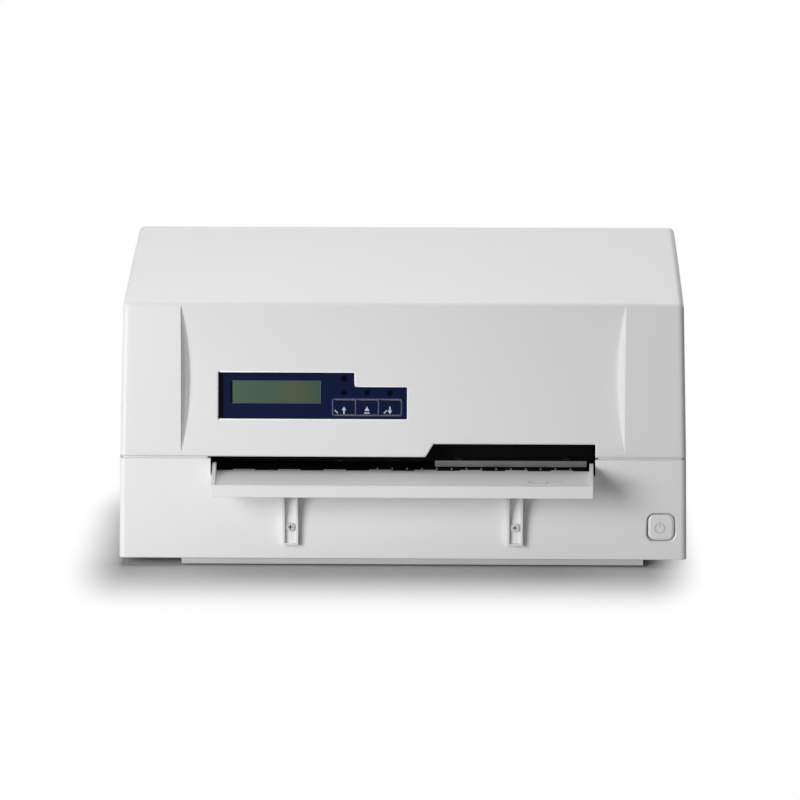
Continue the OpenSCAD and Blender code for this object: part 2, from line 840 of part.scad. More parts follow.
module frame_outline() {
    front = fy(frame_d0);
    rear = front + frame_len;
    polygon([[front, pan_top], [rear, pan_top], [rear, shelf_z + 8],
             [rear - 22, frame_top], [fy(print_d + 12), frame_top],
             [fy(print_d), frame_top - 10], [fy(rail_d - 8), frame_top - 10],
             [fy(rail_d - 10), pinch_z + 13], [front, pinch_z + 9]]);
}

// Holes that both side frames have
module frame_holes() {
    for (d = [feed_d, exit_d]) {
        translate([fy(d), feed_z]) circle(bush_r);
        translate([fy(d), pinch_z]) circle(pinch_bush_r);
    }
    translate([fy(flap_d), feed_z - 2]) circle(flap_pin_r + run_fit);
    translate([fy(rod_d), rod_z]) circle(rod_r);
    // the belt passes through a window
    translate([fy(rod_d), belt_z + belt_w / 2])
        square([2 * (belt_in + belt_t) + 6, belt_w + 6], center = true);
}

// A side frame whose sheet starts at x0 and whose foot is bent towards +X
module side_frame(x0) {
    difference() {
        union() {
            prism_x([x0, x0 + frame_t]) frame_outline();
            slab([x0, x0 + frame_t + frame_foot],
                 [fy(frame_d0), fy(frame_d0) + frame_len], [pan_top, pan_top + frame_t]);
        }
        prism_x([x0 - 1, x0 + frame_t + 1]) {
            frame_holes();
            translate([fy(exit_d + 30), 34]) circle(13);
            translate([fy(feed_d + 16), 30]) circle(11);
            children();
        }
    }
}

module frame_left() color(steel) side_frame(-frame_out);

module frame_right() color(steel)
    side_frame(frame_in) {
        for (d = stud_spots) translate([fy(d), feed_z]) circle(stud_r);
        translate([fy(print_d), pinion_z]) circle(gear_module * pinion_teeth / 2 + 1.6);
    }

module frame_ties() color(steel) {
    sheet = 1.6;
    // front tie
    slab([-frame_in, frame_in], [fy(frame_d0 + 2), fy(frame_d0 + 2 + sheet)], [14, 48]);
    // cassette shelf with a flange along each edge
    shelf_d0 = print_d + cassette_back + 4;
    shelf_d1 = shelf_d0 + cassette_l - 4;
    slab([-frame_in, frame_in], [fy(shelf_d0), fy(shelf_d1)], [shelf_z - sheet, shelf_z]);
    for (d = [shelf_d0, shelf_d1 - sheet])
        slab([-frame_in, frame_in], [fy(d), fy(d + sheet)], [shelf_z - 9, shelf_z - sheet]);
}

// ---------- document guides ----------

module guide_plate(x, d, top)
    slab([-x, x], [fy(d[0]), fy(d[1])], [top - guide_t, top]);

module lower_guide() color(black) {
    tongue_n = floor((table_w / 2 - tongue_w) / tongue_pitch);
    d0 = front_draft + wall + 0.4;
    d1 = feed_d - tyre_r - 1;
    difference() {
        union() {
            guide_plate(table_w / 2 + 2, [d0 + set_gap, d1], guide_top);
            guide_plate(frame_in, [frame_d0 + 4, d1], guide_top);
            for (k = [-1.5 : 1.5])
                slab([k * leg_pitch - 1, k * leg_pitch + 1], [fy(d0 + 6), fy(d1)],
                     [guide_top - 10, guide_top - 1]);
            slab([-table_w / 2, table_w / 2], [fy(d1 - 2), fy(d1)],
                 [guide_top - 10, guide_top - 1]);
        }
        for (i = [-tongue_n - 1 : tongue_n])
            slab([(i + 0.5) * tongue_pitch - tongue_w / 2 - set_gap,
                  (i + 0.5) * tongue_pitch + tongue_w / 2 + set_gap],
                 [fy(d0) - 1, fy(d0 + tongue_l + set_gap)],
                 [guide_top - guide_t - 1, guide_top + 1]);
    }
}

module inner_guides() color(steel) {
    guide_plate(frame_in, [flap_d + 5, print_d - platen_w / 2 - 1], guide_top);
    guide_plate(frame_in, [print_d + platen_w / 2 + 1, exit_d - tyre_r - 1], guide_top);
    // the exit guide runs out through the rear slot
    guide_plate(frame_in, [exit_d + tyre_r + 1, frame_d0 + frame_len], guide_top);
    guide_plate(slot_w / 2 - 1, [exit_d + tyre_r + 1, body_d - 1], guide_top);
}

module upper_plate(x, d)
    slab([-x, x], [fy(d[0]), fy(d[1])],
         [doc_z + upper_gap, doc_z + upper_gap + guide_t]);

module upper_guides() color(black) {
    arm_room = frame_in - 14;
    d1 = feed_d - pinch_r - 1;
    upper_plate(frame_in, [frame_d0 + 1, d1]);
    upper_plate(table_w / 2, [upper_d0, d1]);
    // turned up lip of the mouth
    slab([-table_w / 2, table_w / 2], [fy(upper_d0), fy(upper_d0 + guide_t)],
         [doc_z + upper_gap, doc_z + upper_gap + mouth_h]);
    upper_plate(arm_room, [feed_d + pinch_r + 14, print_d - ribbon_w / 2 - 3]);
    upper_plate(arm_room, [print_d + ribbon_w / 2 + 4, exit_d - pinch_r - 1]);
    // side straps carry the two middle plates on the frames
    for (s = [-1, 1], d = [feed_d + pinch_r + 16, exit_d - pinch_r - 9])
        slab(s > 0 ? [arm_room - 1, frame_in] : [-frame_in, -arm_room + 1],
             [fy(d), fy(d + 6)], [doc_z + upper_gap, doc_z + upper_gap + guide_t]);
}

module guide_bar() color(steel) {
    z0 = doc_z + 0.5;
    slab([notch_x0 + 1, notch_x1 - bar_end], [fy(bar_d), fy(bar_d + 3)], [z0, z0 + bar_h]);
    for (x = [notch_x0 + 14, notch_x1 - 22])
        slab([x, x + 6], [fy(bar_d + 3) - eps, fy(upper_d0)], [z0 + 1.6, z0 + bar_h]);
}

module platen_bar() color(steel)
    slab([-frame_in, frame_in], [fy(print_d - platen_w / 2), fy(print_d + platen_w / 2)],
         [guide_top - 8, doc_z - 0.2]);

module alignment_flap() color(steel) {
    pin_z = feed_z - 2;
    finger_n = 7;
    finger_pitch = 36;
    rod_along_x([-frame_out - 1, frame_out + 0.5], fy(flap_d), pin_z, flap_pin_r);
    for (i = [0 : finger_n - 1]) {
        x = (i - (finger_n - 1) / 2) * finger_pitch;
        slab([x - 4, x + 4], [fy(flap_d) - 1, fy(flap_d) + 1], [pin_z + 1, doc_z + 1]);
    }
}

// ---------- feed rollers and gears ----------

module feed_roller(d) {
    rod_along_x([-frame_out - bush_flange - 1, gear_x + gear_w + 0.6], fy(d), feed_z, shaft_r);
}

module feed_gear(d) color(nylon) gear(roller_teeth, d, feed_z, shaft_r, 0);

module tyres(d) color(rubber)
    for (x = tyre_spots)
        difference() {
            rod_along_x([x - tyre_w / 2, x + tyre_w / 2], fy(d), feed_z, tyre_r);
            rod_along_x([x - tyre_w, x + tyre_w], fy(d), feed_z, shaft_r);
        }

module front_roller() {
    color(steel) feed_roller(feed_d);
    feed_gear(feed_d);
}

module rear_roller() {
    color(steel) feed_roller(exit_d);
    feed_gear(exit_d);
}

module front_tyres() tyres(feed_d);
module rear_tyres() tyres(exit_d);

module pinch_roller(d) color(black) {
    rod_along_x([-frame_out - bush_flange - 0.6, frame_out + bush_flange + 0.3],
                fy(d), pinch_z, pinch_shaft_r);
    for (x = tyre_spots)
        rod_along_x([x - tyre_w / 2, x + tyre_w / 2], fy(d), pinch_z, pinch_r);
}

module front_pinch_roller() pinch_roller(feed_d);
module rear_pinch_roller() pinch_roller(exit_d);

module bush(side, d, z, outer, inner) {
    face = side * frame_out;
    difference() {
        union() {
            rod_along_x([min(side * (frame_in - 1.5), face), max(side * (frame_in - 1.5), face)],
                        fy(d), z, outer);
            rod_along_x([min(face, face + side * bush_flange), max(face, face + side * bush_flange)],
                        fy(d), z, outer + 0.9);
        }
        rod_along_x([-frame_out - 9, frame_out + 9], fy(d), z, inner + run_fit);
    }
}

module roller_bushes() color(copper)
    for (side = [-1, 1], d = [feed_d, exit_d]) {
        bush(side, d, feed_z, bush_r, shaft_r);
        bush(side, d, pinch_z, pinch_bush_r, pinch_shaft_r);
    }

module gear_studs() color(steel)
    for (d = stud_spots) {
        rod_along_x([frame_in, gear_x + gear_w + 1.6], fy(d), feed_z, stud_r);
        rod_along_x([frame_out, gear_x - 0.3], fy(d), feed_z, stud_r + 1.6);
        rod_along_x([gear_x + gear_w + 0.3, gear_x + gear_w + 1.4], fy(d), feed_z, stud_r + 1);
    }

module idler_gear_front() color(nylon)
    gear(idler_teeth, print_d - mesh_d, feed_z, stud_r + run_fit, 180 / idler_teeth);
module centre_gear() color(nylon)
    gear(roller_teeth, print_d, feed_z, stud_r + run_fit, 0);
module idler_gear_rear() color(nylon)
    gear(idler_teeth, print_d + mesh_d, feed_z, stud_r + run_fit, 180 / idler_teeth);

module feed_pinion() {
    color(copper) gear(pinion_teeth, print_d, pinion_z, motor_shaft_r, 0);
    color(steel) rod_along_x([frame_in - 16, gear_x + gear_w], fy(print_d), pinion_z, motor_shaft_r);
}

module feed_motor() color(black)
    difference() {
        union() {
            rod_along_x([frame_in - feed_motor_l, frame_in], fy(print_d), pinion_z, feed_motor_r);
            prism_x([frame_in - 1.6, frame_in]) translate([fy(print_d), pinion_z])
                round_rect(2 * feed_motor_r + 14, 18, 4);
        }
        rod_along_x([frame_in - 17, frame_in + 1], fy(print_d), pinion_z, motor_shaft_r + run_fit);
    }

// ---------- carriage drive ----------

module carriage_rod() color(steel)
    rod_along_x([-frame_out - 3, frame_out + 3], fy(rod_d), rod_z, rod_r);

module carriage_rail() color(steel) {
    slab([-frame_in, frame_in], [fy(rail_d), fy(rail_d + rail_t)], [rail_top - rail_h, rail_top]);
    slab([-frame_in, frame_in], [fy(rail_d + rail_t) - eps, fy(rail_d + 8)],
         [rail_top - rail_h, rail_top - rail_h + rail_t]);
}

module belt_loop(r)
    union() {
        translate([motor_x, 0]) circle(r);
        translate([idler_x, 0]) circle(r);
        translate([motor_x, -r]) square([idler_x - motor_x, 2 * r]);
    }

module timing_belt() color(black)
    translate([0, fy(rod_d), belt_z]) linear_extrude(belt_w)
        difference() {
            belt_loop(belt_in + belt_t);
            belt_loop(belt_in);
        }

module pulley(x, bore_r) {
    translate([x, fy(rod_d), belt_z]) difference() {
        union() {
            cylinder(h = belt_w, r = pulley_r);
            for (z = [-1.3, belt_w + 0.3]) translate([0, 0, z]) cylinder(h = 1, r = pulley_r + 2.4);
            translate([0, 0, -0.4]) cylinder(h = belt_w + 0.8, r = pulley_r - 0.8);
        }
        translate([0, 0, -2]) cylinder(h = belt_w + 4, r = bore_r);
    }
}

module motor_pulley() {
    color(steel) pulley(motor_x, motor_shaft_r);
    color(steel) rod_along_z(motor_x, fy(rod_d), [motor_top - 15, belt_z + belt_w + 1],
                             motor_shaft_r);
}

module idler_pulley() color(nylon) pulley(idler_x, idler_pin_r + run_fit);

module belt_tensioner() color(steel) {
    half = belt_in + belt_t + 4;
    reach = frame_out + idler_out + pulley_r + 5;
    slab([frame_out, frame_out + 1.2], [fy(rod_d - half - 6), fy(rod_d - half + 3)],
         [belt_z - 5, belt_z + belt_w + 4.4]);
    for (z = [belt_z - 3.4, belt_z + belt_w + 2.2])
        slab([frame_out, reach], [fy(rod_d - half - 3), fy(rod_d + 5)], [z, z + 1.2]);
    slab([reach - 1.2, reach], [fy(rod_d - half - 3), fy(rod_d - half + 3)],
         [belt_z - 3.4, belt_z + belt_w + 3.4]);
    rod_along_z(idler_x, fy(rod_d), [belt_z - 3.4, belt_z + belt_w + 4.2], idler_pin_r);
}

module motor_bracket() color(steel)
    difference() {
        union() {
            slab([motor_x - motor_w / 2, -frame_out],
                 [fy(rod_d) - motor_w / 2, fy(rod_d) + motor_w / 2],
                 [motor_top, motor_top + frame_t]);
            slab([-frame_out - frame_t, -frame_out],
                 [fy(rod_d) - motor_w / 2 + 5, fy(rod_d) + motor_w / 2 - 5],
                 [motor_top - flange_h, motor_top + frame_t]);
        }
        rod_along_z(motor_x, fy(rod_d), [motor_top - 1, motor_top + 3], 7);
    }

module carriage_motor() color(black)
    difference() {
        union() {
            translate([motor_x, fy(rod_d), motor_top - motor_h]) linear_extrude(motor_h)
                round_rect(motor_w, motor_w, 5);
            rod_along_z(motor_x, fy(rod_d), [motor_top - eps, motor_top + frame_t], 7);
        }
        rod_along_z(motor_x, fy(rod_d), [motor_top - 16, motor_top + 3], motor_shaft_r + run_fit);
    }

// ---------- carriage and head ----------

module carriage() color(black) {
    half = carriage_w / 2;
    grip = 10;
    difference() {
        union() {
            // platform
            slab([-half, half], [fy(rail_d - 4), fy(rod_d - ring_r + 2)],
                 [plate_z, plate_z + plate_t]);
            // lips on both sides of the rail
            for (d = [rail_d - 2.4, rail_d + rail_t + 0.4])
                slab([-half, half], [fy(d), fy(d + 2)], [plate_z - 6, plate_z + eps]);
            // bush housing on the rod
            rod_along_x([-half, half], fy(rod_d), rod_z, ring_r);
            slab([-half, half], [fy(rod_d - ring_r - 3), fy(rod_d)],
                 [plate_z, rod_z]);
            // plate behind the belt strand
            slab([-grip, grip], [fy(strand_d - 4), fy(strand_d - 0.3)],
                 [belt_z - 1.5, plate_z + eps]);
            // stiffening walls beside the head
            for (s = [-1, 1])
                slab(s > 0 ? [half - 1.6, half] : [-half, -half + 1.6],
                     [fy(rail_d + 6), fy(rod_d - ring_r)], [plate_z, plate_z + 12]);
        }
        // bores for the bushes and the well for the head
        rod_along_x([-half - 1, half + 1], fy(rod_d), rod_z, rod_r + bush_t);
        slab([-head_w / 2 - 0.3, head_w / 2 + 0.3],
             [fy(print_d) - head_l / 2 - 0.3, fy(print_d) + head_l / 2 + 0.3],
             [plate_z - 1, plate_z + plate_t + 1]);
    }
}

module carriage_bushes() color(copper)
    for (s = [-1, 1])
        difference() {
            rod_along_x(s > 0 ? [carriage_w / 2 - 8, carriage_w / 2]
                              : [-carriage_w / 2, -carriage_w / 2 + 8],
                        fy(rod_d), rod_z, rod_r + bush_t);
            rod_along_x([-carriage_w, carriage_w], fy(rod_d), rod_z, rod_r + run_fit);
        }

module belt_clamp() color(steel) {
    clamp_x = 9;
    slab([-clamp_x, clamp_x], [fy(strand_d + belt_t + 0.3), fy(strand_d + belt_t + 2.3)],
         [belt_z - 1, belt_z + belt_w + 2.4]);
    slab([-clamp_x, clamp_x], [fy(strand_d - 0.3), fy(strand_d + belt_t + 0.3) + eps],
         [belt_z + belt_w + 0.5, belt_z + belt_w + 2.4]);
}

module print_head() {
    half = head_w / 2;
    seat = plate_z + plate_t;
    body_z = doc_z + 16;
    top = doc_z + head_up;
    fin_pitch = 3.4;
    fin_n = floor((top - seat - 7) / fin_pitch);
    color("#8E9196") difference() {
        union() {
            slab([-half, half], [fy(print_d) - head_l / 2, fy(print_d) + head_l / 2],
                 [body_z, top]);
            slab([-half - 2, half + 2], [fy(print_d) - head_l / 2, fy(print_d) + head_l / 2],
                 [seat, seat + 2.4]);
        }
        // cooling fins
        for (i = [0 : fin_n - 1], s = [-1, 1])
            slab([-half - 1, half + 1],
                 s > 0 ? [fy(print_d) + head_l / 2 - 5, fy(print_d) + head_l]
                       : [fy(print_d) - head_l, fy(print_d) - head_l / 2 + 5],
                 [seat + 5 + i * fin_pitch, seat + 6.6 + i * fin_pitch]);
    }
    // nose that guides the needles
    color(black) intersection() {
        prism_x([-half, half])
            polygon([[fy(print_d) - head_l / 2 + 2, body_z], [fy(print_d) - 3, doc_z + nose_up],
                     [fy(print_d) + 3, doc_z + nose_up], [fy(print_d) + head_l / 2 - 2, body_z]]);
        prism_y([fy(print_d) - head_l, fy(print_d) + head_l])
            polygon([[-half + 2, body_z], [-2.5, doc_z + nose_up], [2.5, doc_z + nose_up],
                     [half - 2, body_z]]);
    }
}

module ribbon_shield() color(steel) {
    half = head_w / 2;
    z0 = doc_z + 0.8;
    back = print_d + ribbon_w / 2 + 0.8;
    difference() {
        slab([-half - 3, half + 3], [fy(print_d - ribbon_w / 2), fy(back + 1.2)], [z0, z0 + 0.3]);
        slab([-2.6, 2.6], [fy(print_d) - 3.2, fy(print_d) + 3.2], [z0 - 1, z0 + 1]);
    }
    for (s = [-1, 1])
        slab(s > 0 ? [half + 1, half + 3] : [-half - 3, -half - 1],
             [fy(back), fy(back + 1.2)], [z0, plate_z]);
}

// ---------- ribbon ----------

module ribbon_cassette() color(black) {
    top = cassette_top;
    mid_y = fy(cassette_d0 + cassette_l / 2);
    half = ribbon_w / 2 + 0.8;
    difference() {
        union() {
            translate([0, mid_y, shelf_z]) linear_extrude(cassette_h)
                round_rect(cassette_w, cassette_l, 6);
            for (s = [-1, 1]) {
                // shoulder beside the body, arm over the rod, and tip down to the ribbon
                slab(s > 0 ? [cassette_w / 2 - 1, arm_x0 + arm_t]
                           : [-arm_x0 - arm_t, -cassette_w / 2 + 1],
                     [fy(cassette_d0 + 8), fy(cassette_d0 + 26)], [arm_low, top]);
                slab(s > 0 ? [arm_x0, arm_x0 + arm_t] : [-arm_x0 - arm_t, -arm_x0],
                     [fy(print_d) - half, fy(cassette_d0 + 26)], [arm_low, top]);
                slab(s > 0 ? [arm_x0, arm_x0 + arm_t] : [-arm_x0 - arm_t, -arm_x0],
                     [fy(print_d) - half, fy(print_d) + half],
                     [doc_z + ribbon_up - 0.6, top]);
            }
        }
        // socket of the winding knob
        rod_along_z(knob_x, mid_y, [top - knob_depth - 1, top + 1], 3 + run_fit);
        // step round the lid
        translate([0, mid_y, top - 4]) linear_extrude(0.8) difference() {
            square([cassette_w + 2, cassette_l + 2], center = true);
            round_rect(cassette_w - 1.6, cassette_l - 1.6, 5.2);
        }
    }
}

module ribbon() color("#141414")
    slab([-arm_x0, arm_x0], [fy(print_d) - ribbon_w / 2, fy(print_d) + ribbon_w / 2],
         [doc_z + ribbon_up, doc_z + ribbon_up + ribbon_t]);

module ribbon_knob() color(black) {
    top = cassette_top;
    grips = 12;
    translate([knob_x, fy(cassette_d0 + cassette_l / 2), 0]) {
        difference() {
            rod_along_z(0, 0, [top + 0.4, top + 9], knob_r);
            for (i = [0 : grips - 1]) rotate(i * 360 / grips)
                rod_along_z(knob_r + 0.6, 0, [top + 1.6, top + 10], 1.4);
        }
        rod_along_z(0, 0, [top - knob_depth, top + 1], 3);
    }
}

// ---------- electronics ----------

module main_board() {
    color(board_green)
        slab([board_x0, board_x0 + main_board_w], [board_rear - main_board_l, board_rear],
             [board_z, board_z + pcb_t]);
    color(steel) for (x = [post_in, main_board_w - post_in], y = [post_in, main_board_l - post_in])
        rod_along_z(board_x0 + x, board_rear - y, [pan_top, board_z], 3);
    // processor, memory and driver chips
    color(black) for (c = chips)
        slab([board_x0 + c[0], board_x0 + c[0] + c[2]],
             [board_rear - c[1] - c[3], board_rear - c[1]],
             [board_z + pcb_t - eps, board_z + pcb_t + 4]);
    // heat sink of the head drivers
    color("#8E9196") for (i = [0 : 5])
        slab([board_x0 + sink_x + i * sink_pitch, board_x0 + sink_x + i * sink_pitch + 1.6],
             [board_rear - sink_y1, board_rear - sink_y0],
             [board_z + pcb_t + 2, board_z + pcb_t + 22]);
    color("#8E9196") slab([board_x0 + sink_x, board_x0 + sink_x + 5 * sink_pitch + 1.6],
             [board_rear - sink_y1, board_rear - sink_y0],
             [board_z + pcb_t - eps, board_z + pcb_t + 2.1]);
    color("#2B3A67") for (i = [0 : 2])
        rod_along_z(board_x0 + 12, board_rear - 60 - i * 12,
                    [board_z + pcb_t - eps, board_z + pcb_t + 18], 4.6);
}

module power_supply() {
    color(steel) {
        slab([psu_x0, psu_x0 + psu_w], [psu_y1 - psu_l, psu_y1], [pan_top, pan_top + 1.2]);
        slab([psu_x0, psu_x0 + 1.2], [psu_y1 - psu_l, psu_y1], [pan_top, pan_top + psu_h]);
    }
    color(board_green)
        slab([psu_x0 + 4, psu_x0 + psu_w], [psu_y1 - psu_l + 2, psu_y1 - 2],
             [pan_top + 6, pan_top + 6 + pcb_t]);
    color(steel) for (x = [9, psu_w - 5], y = [7, psu_l - 7])
        rod_along_z(psu_x0 + x, psu_y1 - y, [pan_top + 1.2 - eps, pan_top + 6], 2.5);
    color("#C9A227") slab([psu_x0 + 42, psu_x0 + 70], [psu_y1 - 46, psu_y1 - 18],
                         [pan_top + 6 + pcb_t - eps, pan_top + psu_h - 4]);
    color("#2B3A67") for (y = [20, 42])
        rod_along_z(psu_x0 + 24, psu_y1 - y, [pan_top + 6 + pcb_t - eps, pan_top + psu_h - 6], 9);
    color("#8E9196") slab([psu_x0 + 86, psu_x0 + 90], [psu_y1 - 58, psu_y1 - 8],
                         [pan_top + 6 + pcb_t - eps, pan_top + psu_h - 8]);
}

module power_inlet() {
    face = rear_y - 0.6;
    color(black) difference() {
        union() {
            prism_y([face - inlet_l, face]) translate([inlet_x, inlet_z])
                square([inlet_w, inlet_h], center = true);
            // flange behind the rear wall
            prism_y([rear_y - wall - 1.5, rear_y - wall]) translate([inlet_x, inlet_z])
                square([inlet_w + 14, inlet_h + 5], center = true);
        }
        // socket with its two cut corners
        prism_y([face - 16.5, face + 1]) translate([inlet_x, inlet_z])
            polygon([[-12, -8], [12, -8], [12, 3.2], [7.2, 8], [-7.2, 8], [-12, 3.2]]);
    }
    color(steel) for (p = [[-7, -2.2], [7, -2.2], [0, 2.2]])
        slab([inlet_x + p[0] - 1, inlet_x + p[0] + 1], [face - 17, face - 4],
             [inlet_z + p[1] - 2, inlet_z + p[1] + 2]);
}

module interface_sockets() {
    face = rear_y - 0.6;
    inside = board_rear - 8;
    color(black) for (c = [[parallel_x, parallel_w], [serial_x, serial_w]])
        difference() {
            prism_y([inside, face]) translate([c[0], socket_z + socket_h / 2])
                square([c[1], socket_h], center = true);
            prism_y([face - 7, face + 1]) translate([c[0], socket_z + socket_h / 2])
                square([c[1] - 12, socket_h - 4.6], center = true);
        }
    color(steel) for (c = [[parallel_x, parallel_w - 16], [serial_x, serial_w - 16]])
        prism_y([face - 7 - eps, face - 1]) translate([c[0], socket_z + socket_h / 2])
            square([c[1], 3], center = true);
}

module power_button() color(shell_grey) {
    plate = 3.6;
    face = button_y + 0.2;
    // bevelled cap
    hull() {
        prism_y([face, face + eps]) button_outline(-button_bevel);
        prism_y([face + button_bevel / 2, face + plate]) button_outline(0);
    }
    // flange that holds it behind the wall, and the plunger
    prism_y([button_y + wall + 0.6, button_y + wall + 2]) button_outline(1.7);
    rod_along_y(button_x, [button_y + wall + 1, switch_y - button_travel - 0.6], button_z, 3);
}

module power_switch() {
    x = [button_x - switch_w / 2, button_x + switch_w / 2];
    back = switch_y + 1 + switch_l;
    color(black) {
        slab(x, [switch_y + 1, back], [button_z - switch_h / 2, button_z + switch_h / 2]);
        rod_along_y(button_x, [switch_y, switch_y + 2], button_z, 2.4);
    }
    // bracket from the housing floor
    color(steel) slab(x, [back - eps, back + 1.2], [floor_z, button_z + switch_h / 2]);
    color(steel) slab(x, [back, back + 12], [floor_z, floor_z + 1.2]);
}

// ---------- cover ----------

// Side outline of the cover, taken below the parting line where it is cut off
function cover_outline() =
    let (foot = seam_z - past,
         rise = body_h - brow_z,
         run = ridge_d - brow_d)
    concat(
        [[fy(front_draft) - past * tan(lean), foot]],
        [for (i = [0 : roof_steps])
            let (t = i / roof_steps)
            [fy(brow_d + t * run), brow_z + t * rise + 4 * roof_crown * t * (1 - t)]],
        [[rear_y, shoulder_z], [rear_y, foot]]);

module cover_block(inset) {
    foot = seam_z - past;
    slope = cover_draft / (body_h - seam_z);
    top = body_h + past;
    intersection() {
        prism_x([-body_w / 2, body_w / 2]) offset(delta = -inset) polygon(cover_outline());
        prism_y([front_y - 9, rear_y + 9])
            polygon([[-seam_half - past * slope + inset, foot],
                     [seam_half + past * slope - inset, foot],
                     [ridge_half - past * slope - inset, top],
                     [-ridge_half + past * slope + inset, top]]);
    }
}

// Cross section of the hollow between its slanted side walls, grown into the walls
module recess_section(half, grow) {
    run = half + grow * sqrt(1 + pow(recess_slope, 2));
    deep = 3 * recess_depth;
    polygon([[-run + deep * recess_slope, -deep], [run - deep * recess_slope, -deep],
             [run + deep * recess_slope, deep], [-run - deep * recess_slope, deep]]);
}

// The hollow is a cylinder whose axis lies in front of the face
module recess_solid(grow) intersection() {
    rod_along_x([-body_w, body_w], face_y(recess_mid, recess_depth - recess_r),
                face_z(recess_mid, recess_depth - recess_r), recess_r + grow, $fn = 256);
    translate([0, face_y(0, 0), face_z(0, 0)]) rotate([90 - lean, 0, 0]) hull() {
        translate([0, recess_v0 - past, 0]) rotate([90, 0, 0])
            linear_extrude(eps) recess_section(recess_foot_x, grow);
        translate([0, recess_v1 + past, 0]) rotate([90, 0, 0])
            linear_extrude(eps) recess_section(recess_top_x, grow);
    }
}

module on_panel()
    translate([panel_x, face_y(panel_v, panel_depth), face_z(panel_v, panel_depth)])
        rotate([90 - panel_lean, 0, 0]) children();

// L shaped outline of the foil, grown by a play
module foil_outline(grow)
    difference() {
        square([panel_w + 2 * grow, panel_h + 2 * grow], center = true);
        translate([panel_w / 2 - step_w + grow, panel_h / 2 - step_h + grow])
            square([step_w + 1, step_h + 1]);
    }

module key_outline(grow)
    round_rect(key_w + 2 * grow, key_h + 2 * grow, 1 + grow);

module top_cover() color(shell_white) {
    half_ear = ear_w / 2 + move_gap;
    difference() {
        union() {
            difference() {
                intersection() {
                    minkowski() {
                        cover_block(edge_r);
                        sphere(edge_r, $fn = hull_fn);
                    }
                    slab([-body_w, body_w], [-body_d, body_d], [seam_top, body_h + 9]);
                }
                difference() {
                    cover_block(wall);
                    recess_solid(wall);
                }
                recess_solid(0);
                // the round rear corner turns about the hinge
                difference() {
                    slab([-body_w, body_w], [hinge_y, rear_y + 1], [seam_top - 1, hinge_z]);
                    rod_along_x([-body_w, body_w], hinge_y, hinge_z, edge_r);
                }
            }
            // knuckles on both sides of each ear
            for (s = [-1, 1], k = [-1, 1])
                rod_along_x(k > 0 ? [s * hinge_x + half_ear, s * hinge_x + half_ear + knuckle_w]
                                  : [s * hinge_x - half_ear - knuckle_w, s * hinge_x - half_ear],
                            hinge_y, hinge_z, edge_r);
            // pad and bosses of the control panel
            on_panel() {
                translate([0, 0, pad_back]) linear_extrude(pad_t)
                    square([panel_w + 4, panel_h + 4], center = true);
                for (p = boss_spots) translate([p[0], p[1], board_face])
                    cylinder(h = -board_face - 1.5, r = 3);
            }
        }
        // pocket of the foil, key wells, windows and screw holes
        on_panel() {
            translate([0, 0, foil_back]) linear_extrude(foil_t + 9) foil_outline(set_gap);
            for (x = key_spots) translate([x, -key_down, foil_back - key_well])
                linear_extrude(9) key_outline(move_gap);
            for (x = key_spots) translate([x, -key_down, pad_back - 1])
                cylinder(h = pad_t + 2, r = 2 + move_gap);
            translate([lcd_x, lcd_up, pad_back - 1]) linear_extrude(pad_t + 2)
                square([lcd_w + 2, lcd_h + 2], center = true);
            for (p = led_spots) translate([p[0], p[1], pad_back - 1])
                cylinder(h = pad_t + 2, r = led_r + set_gap);
            for (p = boss_spots) translate([p[0], p[1], board_face - 1])
                cylinder(h = 6, r = 1);
        }
        // rebate for the housing's tongue
        translate([0, 0, seam_top - 1]) linear_extrude(1 + tongue_up + move_gap)
            rim_plan(wall - tongue_t - move_gap);
        // notch over the document slot
        prism_y([front_y - 1, fy(brow_d)])
            polygon([[notch_x0 - notch_slant, seam_top - 1], [notch_x0, notch_z],
                     [notch_x1, notch_z], [notch_x1, seam_top - 1]]);
        // clearance for the ears, and the pin holes
        for (s = [-1, 1]) {
            slab([s * hinge_x - half_ear, s * hinge_x + half_ear],
                 [hinge_y - edge_r - 2, rear_y + 1], [seam_top - 1, hinge_z + edge_r + 2]);
            rod_along_x([s * hinge_x - ear_w / 2 - knuckle_w - 2,
                         s * hinge_x + ear_w / 2 + knuckle_w + 2],
                        hinge_y, hinge_z, hinge_pin_r + run_fit);
        }
    }
}

module hinge_pins() color(steel)
    for (s = [-1, 1])
        rod_along_x([s * hinge_x - ear_w / 2 - knuckle_w, s * hinge_x + ear_w / 2 + knuckle_w],
                    hinge_y, hinge_z, hinge_pin_r);

module panel_foil() color(foil_navy) on_panel()
    translate([0, 0, foil_back]) linear_extrude(foil_t) difference() {
        foil_outline(0);
        translate([lcd_x, lcd_up]) square([lcd_w, lcd_h], center = true);
        for (x = key_spots) translate([x, -key_down]) key_outline(move_gap);
        for (p = led_spots) translate([p[0], p[1]]) circle(led_r + 0.1);
    }

module lcd_module() on_panel() {
    color("#4F6450") translate([lcd_x, lcd_up, foil_back])
        linear_extrude(foil_t - 0.5) square([lcd_w - 0.4, lcd_h - 0.4], center = true);
    color(black) translate([lcd_x, lcd_up, board_face])
        linear_extrude(foil_back - board_face) square([lcd_w + 1, lcd_h + 1], center = true);
}

module status_lights() color("#3A3F4A") on_panel()
    for (p = led_spots) translate([p[0], p[1], board_face])
        cylinder(h = foil_face - 0.2 - board_face, r = led_r);

module panel_board() on_panel() {
    color(board_green) translate([0, 0, board_face - pcb_t]) linear_extrude(pcb_t)
        difference() {
            square([panel_w, panel_h + 12], center = true);
            for (p = boss_spots) translate(p) circle(1);
        }
    // tactile switches behind the keys
    color(black) for (x = key_spots) translate([x, -key_down, board_face - eps]) {
        translate([0, 0, 1.25]) cube([6, 6, 2.5], center = true);
        cylinder(h = 3.2, r = 1.6);
    }
}

